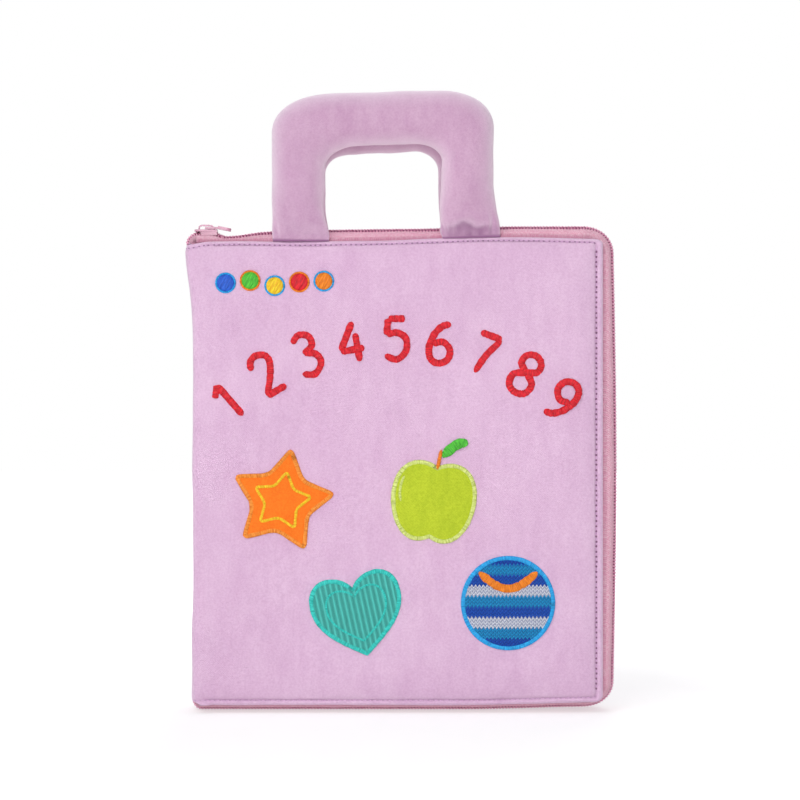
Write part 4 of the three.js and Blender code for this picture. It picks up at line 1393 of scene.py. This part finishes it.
PAGE_EDGE = [
    (0.3, 0.0), (0.0, 0.3), (0.2, 0.65), (0.9, 0.8), (3.0, 0.85), (4.6, 0.8), (5.4, 0.5), (6.6, 0.9),
    (9.5, 1.25), (13, 2.0), (18, 2.8), (26, 3.25),
]
PAGE_STEP, PAGE_CORNER = 4.0, 7
PAGE_STITCH_INSET = 5.4
PAGE_STITCH_HEIGHT = 0.68
LEAF_WIDTH = COVER_WIDTH - LEAF_EDGE_GAP - LEAF_ROOT_X + LEAF_ROOT_HALF
LEAF_HEIGHT = COVER_HEIGHT - 2 * LEAF_EDGE_GAP
LEAF_LEFT = LEAF_ROOT_X - LEAF_ROOT_HALF
LEAF_BOTTOM = COVER_BOTTOM + LEAF_EDGE_GAP
# Each page's name, ground, figure, pattern and how far apart its figures are
PAGE_PRINTS = [
    ("mint dotted page", "f3ecdd", "7ccfc0", "dots", 13),
    ("peach striped page", "f6ead9", "f2b489", "stripes", 12),
    ("sky checked page", "f4f1ee", "9cc7ea", "checks", 16),
    ("lemon dotted page", "f5efda", "f0cf63", "dots", 11),
    ("rose striped page", "f6eaee", "e8a3b6", "stripes", 10),
    ("leaf checked page", "f1f1e2", "bcd487", "checks", 14),
    ("lilac dotted page", "f1eaf3", "c7a2d6", "dots", 15),
    ("coral striped page", "f7ece4", "ef9d8c", "stripes", 14),
]


def leaf_middle(number):
    return (number - (LEAF_COUNT - 1) / 2) * LEAF_PITCH


def page(name, number, side, material):
    """One cloth side of a leaf: a flat sewn border round a padded middle."""
    curve = edge_curve(PAGE_EDGE, 2)
    rows = panel_grid(LEAF_WIDTH, LEAF_HEIGHT, curve, PAGE_STEP, PAGE_CORNER)
    rings = len(curve["inset"]) - 1
    points = []
    for u, v, height, ring in flatten(rows):
        x, z = LEAF_LEFT + u, LEAF_BOTTOM + v
        padded = smooth(ring / rings * 2 - 0.9)
        gather = math.exp(-((ring / rings - 0.62) / 0.1) ** 2) * math.sin((x + z) * TURN / 6.3)
        swell = 0.12 * gather - 0.12 * padded * (1 + wobble(x, number * 30, z, 33, 20 + side))
        points.append((x, leaf_middle(number) + side * (height + swell), z))
    return mesh_object(name, points, grid_faces(len(rows), len(rows[0]), flip=side < 0), material)


def page_stitch_path(number, side):
    """A closed line with rounded corners, a stitch's inset in from the page's edge."""
    left, right = LEAF_LEFT + PAGE_STITCH_INSET, LEAF_LEFT + LEAF_WIDTH - PAGE_STITCH_INSET
    low, high = LEAF_BOTTOM + PAGE_STITCH_INSET, LEAF_BOTTOM + LEAF_HEIGHT - PAGE_STITCH_INSET
    radius, steps, spacing = 3, 6, 3
    corners = ((right - radius, high - radius), (left + radius, high - radius),
               (left + radius, low + radius), (right - radius, low + radius))
    line = []
    for quarter, (cx, cz) in enumerate(corners):
        for step in range(steps + 1):
            angle = math.pi / 2 * (quarter + step / steps)
            line.append((cx + radius * math.cos(angle), cz + radius * math.sin(angle)))
    line.append(line[0])
    dense = []
    for a, b in zip(line, line[1:]):
        pieces = max(int(math.dist(a, b) / spacing), 1)
        dense += [tuple(lerp(p, q, k / pieces) for p, q in zip(a, b)) for k in range(pieces)]
    y = leaf_middle(number) + side * PAGE_STITCH_HEIGHT
    return [(x, y, z) for x, z in dense]


for number in range(LEAF_COUNT):
    body = f"leaf_{number + 1}"
    for k, (face, side) in enumerate(COVERS):
        printed = page_finish(*PAGE_PRINTS[2 * number + k])
        cloth_page = page(f"{body}_{face}_page", number, side, printed)
        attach(cloth_page, body)
        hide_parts(f"{body}_{face}_cloth")
        if side < 0:
            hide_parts(f"{body}_padding")
        seam = stitches(f"{body}_{face}_stitches", page_stitch_path(number, side), lilac_thread,
                        radius=0.26)
        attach(seam, body)


def binding_strip():
    """The strip sewn to the spine's lining, pleated into a rib for each leaf."""
    back, rib, half_rib, soft_corner = 6.25, 2.6, 0.6, 0.5
    half_width, end_gap, levels = 14.2, 6, 60
    base = back + 0.9
    crest = base + rib
    outline = [(back, -half_width), (base, -half_width)]
    for number in range(LEAF_COUNT):
        middle = leaf_middle(number)
        low_side, high_side = middle - half_rib, middle + half_rib
        outline += [
            (base, low_side - soft_corner), (base + soft_corner, low_side), (crest - 0.4, low_side),
            (crest, middle),
            (crest - 0.4, high_side), (base + soft_corner, high_side), (base, high_side + soft_corner),
        ]
    outline += [(base, half_width), (back, half_width)]
    rows = []
    for level in range(levels + 1):
        z = lerp(COVER_BOTTOM + end_gap, COVER_TOP - end_gap, level / levels)
        rows.append([(x + 0.1 * wobble(x, y, z, 8, 31), y, z) for x, y in outline])
    return grid_mesh("binding_strip", rows, binding_cloth, closed_columns=True)


binding = binding_strip()
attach(binding, "spine")
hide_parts("page_binding")

# Patches and embroidery on the front cover

PATCH_LIFT = 0.75
BORDER_LAP = 0.5  # how far a border laps over its patch's outline
BORDER_WIDTH = 2.5
BORDER_HEIGHT = 0.8


def face_y(x, z, lift):
    """A point's y on the front cover, some lift over its cloth."""
    return -(FACE + face_swell(x, z, -1) + lift)


def bezier(a, b, c, d, steps):
    line = []
    for k in range(steps):
        t = k / steps
        s = 1 - t
        line.append(tuple(s ** 3 * p + 3 * s * s * t * q + 3 * s * t * t * r + t ** 3 * w
                          for p, q, r, w in zip(a, b, c, d)))
    return line


def star_outline():
    radius, waist, blunt, steps = 30, 0.55, 0.22, 7
    tips = []
    for k in range(10):
        size = radius if k % 2 == 0 else radius * waist
        angle = math.pi / 2 + TURN * k / 10
        tips.append((size * math.cos(angle), size * math.sin(angle)))
    line = []
    for k, tip in enumerate(tips):
        before, after = tips[k - 1], tips[(k + 1) % 10]
        start = tuple(lerp(t, b, blunt) for t, b in zip(tip, before))
        end = tuple(lerp(t, a, blunt) for t, a in zip(tip, after))
        for step in range(steps):
            t = step / (steps - 1)
            line.append(tuple((1 - t) ** 2 * p + 2 * t * (1 - t) * q + t * t * r
                              for p, q, r in zip(start, tip, end)))
        following = tips[(k + 1) % 10]
        next_start = tuple(lerp(f, t, blunt) for f, t in zip(following, tip))
        for step in range(1, 4):
            line.append(tuple(lerp(e, n, step / 4) for e, n in zip(end, next_start)))
    return line


def mirrored_outline(width, height, shares):
    """A closed line of a right half of two curves, from its top to its bottom, and its mirror."""
    right = [(u * width, v * height) for u, v in shares]
    left = [(-x, y) for x, y in right][::-1]
    line = []
    for half in (right, left):
        line += bezier(*half[:4], 18) + bezier(*half[3:], 18)
    return line


HEART_SHARES = [(0, 0.28), (0.15, 0.5), (0.5, 0.5), (0.5, 0.14), (0.5, -0.16), (0.2, -0.34), (0, -0.5)]
APPLE_SHARES = [(0, 0.3), (0.25, 0.42), (0.5, 0.3), (0.5, 0), (0.5, -0.3), (0.28, -0.56), (0, -0.42)]


def circle(radius, count):
    return [(radius * math.cos(TURN * k / count), radius * math.sin(TURN * k / count))
            for k in range(count)]


def scaled(line, share):
    return [(x * share, y * share) for x, y in line]


def cover_shares(x, z):
    """A place on the front cover, as shares of its width and height."""
    return x / COVER_WIDTH, (z - COVER_BOTTOM) / COVER_HEIGHT


def on_cover(spot, turn):
    """Turns a patch's own flat places into the cover's x and z."""
    cx, cz = COVER_WIDTH * spot[0], COVER_BOTTOM + COVER_HEIGHT * spot[1]
    c, s = math.cos(turn), math.sin(turn)
    return lambda p: (cx + p[0] * c + p[1] * s, cz - p[0] * s + p[1] * c)


def patch_rings():
    """The rings of a patch's cloth: each its share of the outline and its height over the cover."""
    shares = (1.0, 0.985, 0.94, 0.86, 0.74, 0.6, 0.45, 0.3, 0.15)
    lifts = [0.05] + [PATCH_LIFT - 0.25 * (1 - smooth(k / 3)) for k in range(1, len(shares))]
    return list(zip(shares, lifts))


def domed_mesh(name, outline, rings, middle_lift, to_cover, material, ripple=0.0):
    """Rings drawn in from an outline, on the cover's swell, and closed by a point in the middle."""
    points, uvs = [], []
    for share, lift in rings:
        for flat in scaled(outline, share):
            x, z = to_cover(flat)
            points.append((x, face_y(x, z, lift + ripple * wobble(x, 0, z, 9, 40)), z))
            uvs.append(flat)
    size = len(outline)
    faces = grid_faces(len(rings), size, closed_columns=True, flip=True)
    last = len(points) - size
    x, z = to_cover((0, 0))
    points.append((x, face_y(x, z, middle_lift), z))
    uvs.append((0, 0))
    faces += [[len(points) - 1, last + (k + 1) % size, last + k] for k in range(size)]
    return mesh_object(name, points, faces, material, uvs)


def pinch(k, count):
    """How much of its size a strip has at a point, as its two ends are rounded off."""
    end = min(k, count - 1 - k) / 3
    return max(math.sqrt(1 - (1 - end) ** 2), 0.25) if end < 1 else 1.0


def satin_line(name, line, to_cover, width, height, material, lift=0.0, closed=False):
    """A raised strip of satin stitch along a flat line; its UV is its length run and its width."""
    count = len(line)
    section = 8
    rows, uvs = [], []
    for k, (point, run) in enumerate(zip(line, distances_along(line))):
        before = line[k - 1] if closed or k else line[k]
        after = line[(k + 1) % count] if closed or k < count - 1 else line[k]
        along = Vector((after[0] - before[0], after[1] - before[1]))
        along.normalize()
        across = Vector((along.y, -along.x))
        size = 1.0 if closed else pinch(k, count)
        ragged = 1 + 0.06 * math.sin(run * 9.7) + 0.05 * math.sin(run * 23.1)
        row = []
        for step in range(section + 1):
            angle = math.pi * step / section
            offset = -math.cos(angle) * width / 2 * size * ragged
            x, z = to_cover((point[0] + across.x * offset, point[1] + across.y * offset))
            raised = math.sin(angle) ** 0.7 * height * (0.4 + 0.6 * size)
            row.append((x, face_y(x, z, lift + raised - 0.1), z))
            uvs.append((run, offset))
        rows.append(row)
    return grid_mesh(name, rows, material, uvs, closed_rows=closed)


def drawn_in(line, distance):
    """A closed line moved inwards, so that a border's outer side follows the patch's outline."""
    count = len(line)
    moved = []
    for k, (x, y) in enumerate(line):
        before, after = line[k - 1], line[(k + 1) % count]
        along = Vector((after[0] - before[0], after[1] - before[1]))
        along.normalize()
        normal = Vector((-along.y, along.x))
        if normal.dot(Vector((x, y))) > 0:
            normal.negate()
        moved.append((x + normal.x * distance, y + normal.y * distance))
    return moved


def sew(obj, node_name=None):
    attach(obj, "front_cover")
    if node_name:
        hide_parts(node_name)


orange_cloth = plain_cloth("orange patch cloth", "f88420", "ec6a0c", density=1700.0, contrast=0.25)
lime_cloth = plain_cloth("lime patch felt", "c4d332", "aabd24", density=1300.0, mottle=0.8,
                         contrast=0.35)
teal_cords = rib_finish("teal corduroy", "46c4b8", "17877f", 3.0, 0.0012)
blue_knit = knit_finish()
# Each thread's colour, its shade and, where it isn't the common one, the pitch of its threads
SATINS = {
    "yellow": ("ffe028", "eba80f"), "amber": ("ffa640", "e87410"), "orange": ("ff921c", "e0700c"),
    "teal": ("40e0d4", "18b0a6"), "lime": ("e8f298", "bed058"), "green": ("5cd43c", "38a02c"),
    "sky": ("2cbaf8", "0f8ad6"), "blue": ("2a6ae0", "1a4cb8"), "red": ("f0182a", "b80c1e", 0.5),
}
satins = {name: satin_finish(f"{name} satin thread", *values) for name, values in SATINS.items()}

# Each patch's turn, cloth, border and slot
PATCHES = {
    "star": (0.18, orange_cloth, "amber", "orange_cloth"),
    "heart": (-0.22, teal_cords, "teal", "teal_corduroy"),
    "apple": (0.12, lime_cloth, "lime", "lime_felt"),
    "ball": (0.0, blue_knit, "sky", "blue_knit"),
}


def sew_line(patch, part, line, width, height, satin, lift=PATCH_LIFT, closed=False):
    """A line of satin stitch on a patch."""
    turn, _, _, slot = PATCHES[patch]
    to_cover = on_cover(PATCH_SPOTS[patch], turn)
    sewn = satin_line(f"{patch}_{part}", line, to_cover, width, height, satins[satin], lift, closed)
    sew(sewn)


def sew_patches():
    heart = mirrored_outline(50, 48, HEART_SHARES)
    apple = mirrored_outline(46, 54, APPLE_SHARES)
    outlines = {"star": star_outline(), "heart": heart, "apple": apple, "ball": circle(25.5, 96)}
    for name, (turn, cloth, satin, slot) in PATCHES.items():
        patch = domed_mesh(f"{name}_cloth", outlines[name], patch_rings(), PATCH_LIFT,
                           on_cover(PATCH_SPOTS[name], turn), cloth, ripple=0.1)
        sew(patch, f"{name}_patch")
        border = drawn_in(outlines[name], BORDER_WIDTH / 2 - BORDER_LAP)
        sew_line(name, "border", border, BORDER_WIDTH, BORDER_HEIGHT, satin, lift=0.35, closed=True)

    sew_line("star", "inner_line", scaled(outlines["star"], 0.55), 1.6, 0.5, "yellow", closed=True)
    sew_line("heart", "inner_line", scaled(heart, 0.66), 1.2, 0.4, "teal", closed=True)
    leaf = [(2 + 13 * t, 22 + 9 * math.sin(t * 1.9)) for t in (k / 12 for k in range(13))]
    sew_line("apple", "leaf", leaf, 5.4, 0.8, "green")
    stalk = [(0.08 * k, 15 + k) for k in range(12)]
    sew_line("apple", "stalk", stalk, 2.0, 0.8, "orange", lift=PATCH_LIFT + 0.2)
    angles = [2.4 + k * 0.1 for k in range(15)]
    shine = [(-13 + 6 * math.cos(a), 2 + 11 * math.sin(a)) for a in angles]
    sew_line("apple", "shine", shine, 1.5, 0.45, "lime")
    band = [(-16 + 32 * t, 17 - 9 * math.sin(math.pi * t)) for t in (k / 24 for k in range(25))]
    sew_line("ball", "band", band, 4.6, 0.9, "orange")


# Each numeral's strokes, in shares of its height; a stroke of two points is straight
NUMERALS = {
    1: [[(0.1, 0.76), (0.34, 0.97)], [(0.34, 0.97), (0.34, 0.02)]],
    2: [[(0.06, 0.74), (0.14, 0.93), (0.32, 1.0), (0.52, 0.9), (0.54, 0.7), (0.36, 0.38), (0.08, 0.04)],
        [(0.08, 0.03), (0.6, 0.03)]],
    3: [[(0.08, 0.86), (0.28, 1.0), (0.5, 0.9), (0.5, 0.66), (0.24, 0.55)],
        [(0.26, 0.55), (0.52, 0.44), (0.57, 0.2), (0.34, 0.0), (0.06, 0.1)]],
    4: [[(0.44, 0.98), (0.05, 0.34)], [(0.05, 0.32), (0.62, 0.32)], [(0.46, 0.7), (0.46, 0.02)]],
    5: [[(0.54, 0.97), (0.14, 0.97)], [(0.14, 0.97), (0.1, 0.58)],
        [(0.1, 0.58), (0.34, 0.64), (0.56, 0.5), (0.56, 0.2), (0.34, 0.0), (0.06, 0.1)]],
    6: [[(0.48, 0.97), (0.28, 0.88), (0.12, 0.64), (0.06, 0.34), (0.14, 0.08), (0.34, 0.0), (0.54, 0.12),
         (0.56, 0.36), (0.36, 0.52), (0.12, 0.42)]],
    7: [[(0.05, 0.97), (0.58, 0.97)], [(0.58, 0.95), (0.36, 0.5), (0.24, 0.02)]],
    8: [[(0.32, 0.54), (0.1, 0.68), (0.12, 0.9), (0.32, 1.0), (0.52, 0.9), (0.54, 0.68), (0.32, 0.54),
         (0.07, 0.36), (0.1, 0.1), (0.32, 0.0), (0.54, 0.1), (0.57, 0.36), (0.32, 0.54)]],
    9: [[(0.14, 0.03), (0.34, 0.12), (0.5, 0.36), (0.56, 0.66), (0.48, 0.92), (0.28, 1.0), (0.08, 0.88),
         (0.06, 0.64), (0.26, 0.48), (0.5, 0.58)]],
}
NUMERAL_HEIGHT = 23
NUMERAL_MIDDLE = 0.32  # in shares of its height, from the left
NUMERAL_STROKE = 3.9
ARC_MIDDLE = (113.5, 67)
ARC_RADIUS = 128
ARC_HALF_ANGLE = 0.715


def sew_numerals():
    """Numerals 1 to 9 in an arch over the patches. Each stroke lies a little over the one before."""
    for k, (digit, strokes) in enumerate(NUMERALS.items()):
        angle = lerp(-ARC_HALF_ANGLE, ARC_HALF_ANGLE, k / (len(NUMERALS) - 1))
        spot = cover_shares(ARC_MIDDLE[0] + ARC_RADIUS * math.sin(angle),
                            ARC_MIDDLE[1] + ARC_RADIUS * math.cos(angle))
        for s, stroke in enumerate(strokes):
            flat = [((u - NUMERAL_MIDDLE) * NUMERAL_HEIGHT, v * NUMERAL_HEIGHT) for u, v in stroke]
            line = spline(flat, 14 if len(flat) == 2 else 6)
            sewn = satin_line(f"numeral_{digit}_{s + 1}", line, on_cover(spot, angle), NUMERAL_STROKE,
                              1.05 + 0.12 * s, satins["red"], lift=0.05 + 0.05 * s)
            sew(sewn)


DOT_RADIUS, DOT_RING_RADIUS = 5.0, 5.2
DOT_START, DOT_PITCH, DOT_LEVEL = 20, 13.5, 237
DOT_SIDES = 40


def sew_dots():
    """A row of plain coloured dots near the head of the cover, each with a ring round it."""
    rings = [(share, -0.1 + 1.1 * (1 - share ** 4)) for share in (1.0, 0.96, 0.88, 0.74, 0.55, 0.3)]
    for k, color in enumerate(("blue", "green", "yellow", "red", "orange")):
        x, z = DOT_START + DOT_PITCH * k, DOT_LEVEL + 1.6 * math.sin(k * 2.2)
        spot = cover_shares(x, z)
        disc = domed_mesh(f"dot_{k + 1}", circle(DOT_RADIUS, DOT_SIDES), rings, 1.0, on_cover(spot, 0.5),
                          satins[color])
        sew(disc)
        ring = satin_line(f"dot_ring_{k + 1}", circle(DOT_RING_RADIUS, DOT_SIDES), on_cover(spot, 0),
                          1.1, 0.6, satins["orange" if k % 2 else "sky"], closed=True)
        sew(ring)


sew_patches()
sew_numerals()
sew_dots()

# Floor, light and camera


FLOOR_LEVEL = -0.05


def floor_finish():
    """A pale floor: the camera sees it white wherever nothing shades it."""
    material = bpy.data.materials.new("pale floor")
    material.use_nodes = True
    tree = material.node_tree
    tree.nodes.clear()
    where = object_place(tree)
    grain = noise_value(tree, where, 40.0, 3.0)
    tone = mix_color(tree, grain, (0.58, 0.58, 0.58, 1), (0.64, 0.64, 0.64, 1))
    diffuse = node(tree, "ShaderNodeBsdfDiffuse", {"Color": tone})
    axes = node(tree, "ShaderNodeSeparateXYZ", {0: where}).outputs
    squares = [times(tree, axes[k], axes[k]) for k in ("X", "Y")]
    away = math_node(tree, "SQRT", plus(tree, *squares))

    def lit(strength):
        """The floor's own colour with some white light of its own."""
        glow = node(tree, "ShaderNodeEmission", {"Color": (1, 1, 1, 1), "Strength": strength})
        return node(tree, "ShaderNodeAddShader", {0: diffuse.outputs[0], 1: glow.outputs[0]}).outputs[0]

    path = tree.nodes.new("ShaderNodeLightPath").outputs
    seen = math_node(tree, "MAXIMUM", path["Is Camera Ray"], path["Is Glossy Ray"])
    brighter = lit(remap(tree, away, 0.2, 0.7, 0.5, 1.0))
    mixed = node(tree, "ShaderNodeMixShader", {0: seen, 1: lit(0.2), 2: brighter})
    out = tree.nodes.new("ShaderNodeOutputMaterial")
    tree.links.new(mixed.outputs[0], out.inputs["Surface"])
    return material


def make_floor():
    size = 4000
    corners = [(BOOK_MIDDLE_X + x, y, FLOOR_LEVEL)
               for x, y in ((-size, -size), (size, -size), (size, size), (-size, size))]
    mesh_object("floor", corners, [[0, 1, 2, 3]], floor_finish())


def make_world():
    world = bpy.data.worlds.new("studio")
    bpy.context.scene.world = world
    world.use_nodes = True
    tree = world.node_tree
    tree.nodes.clear()
    path = tree.nodes.new("ShaderNodeLightPath").outputs
    seen = math_node(tree, "MAXIMUM", path["Is Camera Ray"], path["Is Glossy Ray"])
    seen = math_node(tree, "MAXIMUM", seen, path["Is Transmission Ray"])
    soft = node(tree, "ShaderNodeBackground", {"Color": (0.97, 0.97, 1.0, 1), "Strength": 0.52})
    white = node(tree, "ShaderNodeBackground", {"Color": (1, 1, 1, 1), "Strength": 1.0})
    mixed = node(tree, "ShaderNodeMixShader", {0: seen, 1: soft.outputs[0], 2: white.outputs[0]})
    out = tree.nodes.new("ShaderNodeOutputWorld")
    tree.links.new(mixed.outputs[0], out.inputs["Surface"])


# Each light's place, the point that it faces, its width in metres and its power in watts
LIGHTS = {
    "key": ((-0.9, -1.4, 1.8), (0, 0, 0.16), 1.5, 15),
    "fill": ((-0.2, -1.9, 0.22), (0, 0, 0.06), 1.5, 13),
    "low": ((0, -0.5, 0.05), (0, 0, 0.2), 0.4, 0.75),
    "back": ((0.3, 1.5, 1.4), (0, 0, 0.16), 1.2, 12),
}


def area_light(name, position, aim, size, power):
    data = bpy.data.lights.new(name, "AREA")
    data.shape = "DISK"
    data.size = size
    data.energy = power
    lamp = bpy.data.objects.new(name, data)
    lamp.location = position
    lamp.rotation_euler = (Vector(aim) - Vector(position)).to_track_quat("-Z", "Y").to_euler()
    lamp.visible_camera = False
    bpy.context.scene.collection.objects.link(lamp)


def make_camera():
    """The photograph's view: straight at the front cover, level with the middle of the picture."""
    data = bpy.data.cameras.new("camera")
    data.lens = 98.36
    data.sensor_width = 36
    camera = bpy.data.objects.new("camera", data)
    camera.location = (-0.0008, -1.222, 0.1727)
    camera.rotation_euler = (math.pi / 2, 0, 0)
    bpy.context.scene.collection.objects.link(camera)
    bpy.context.scene.camera = camera


make_floor()
make_world()
for name, values in LIGHTS.items():
    area_light(name, *values)
make_camera()

bpy.context.scene.view_settings.view_transform = "Standard"
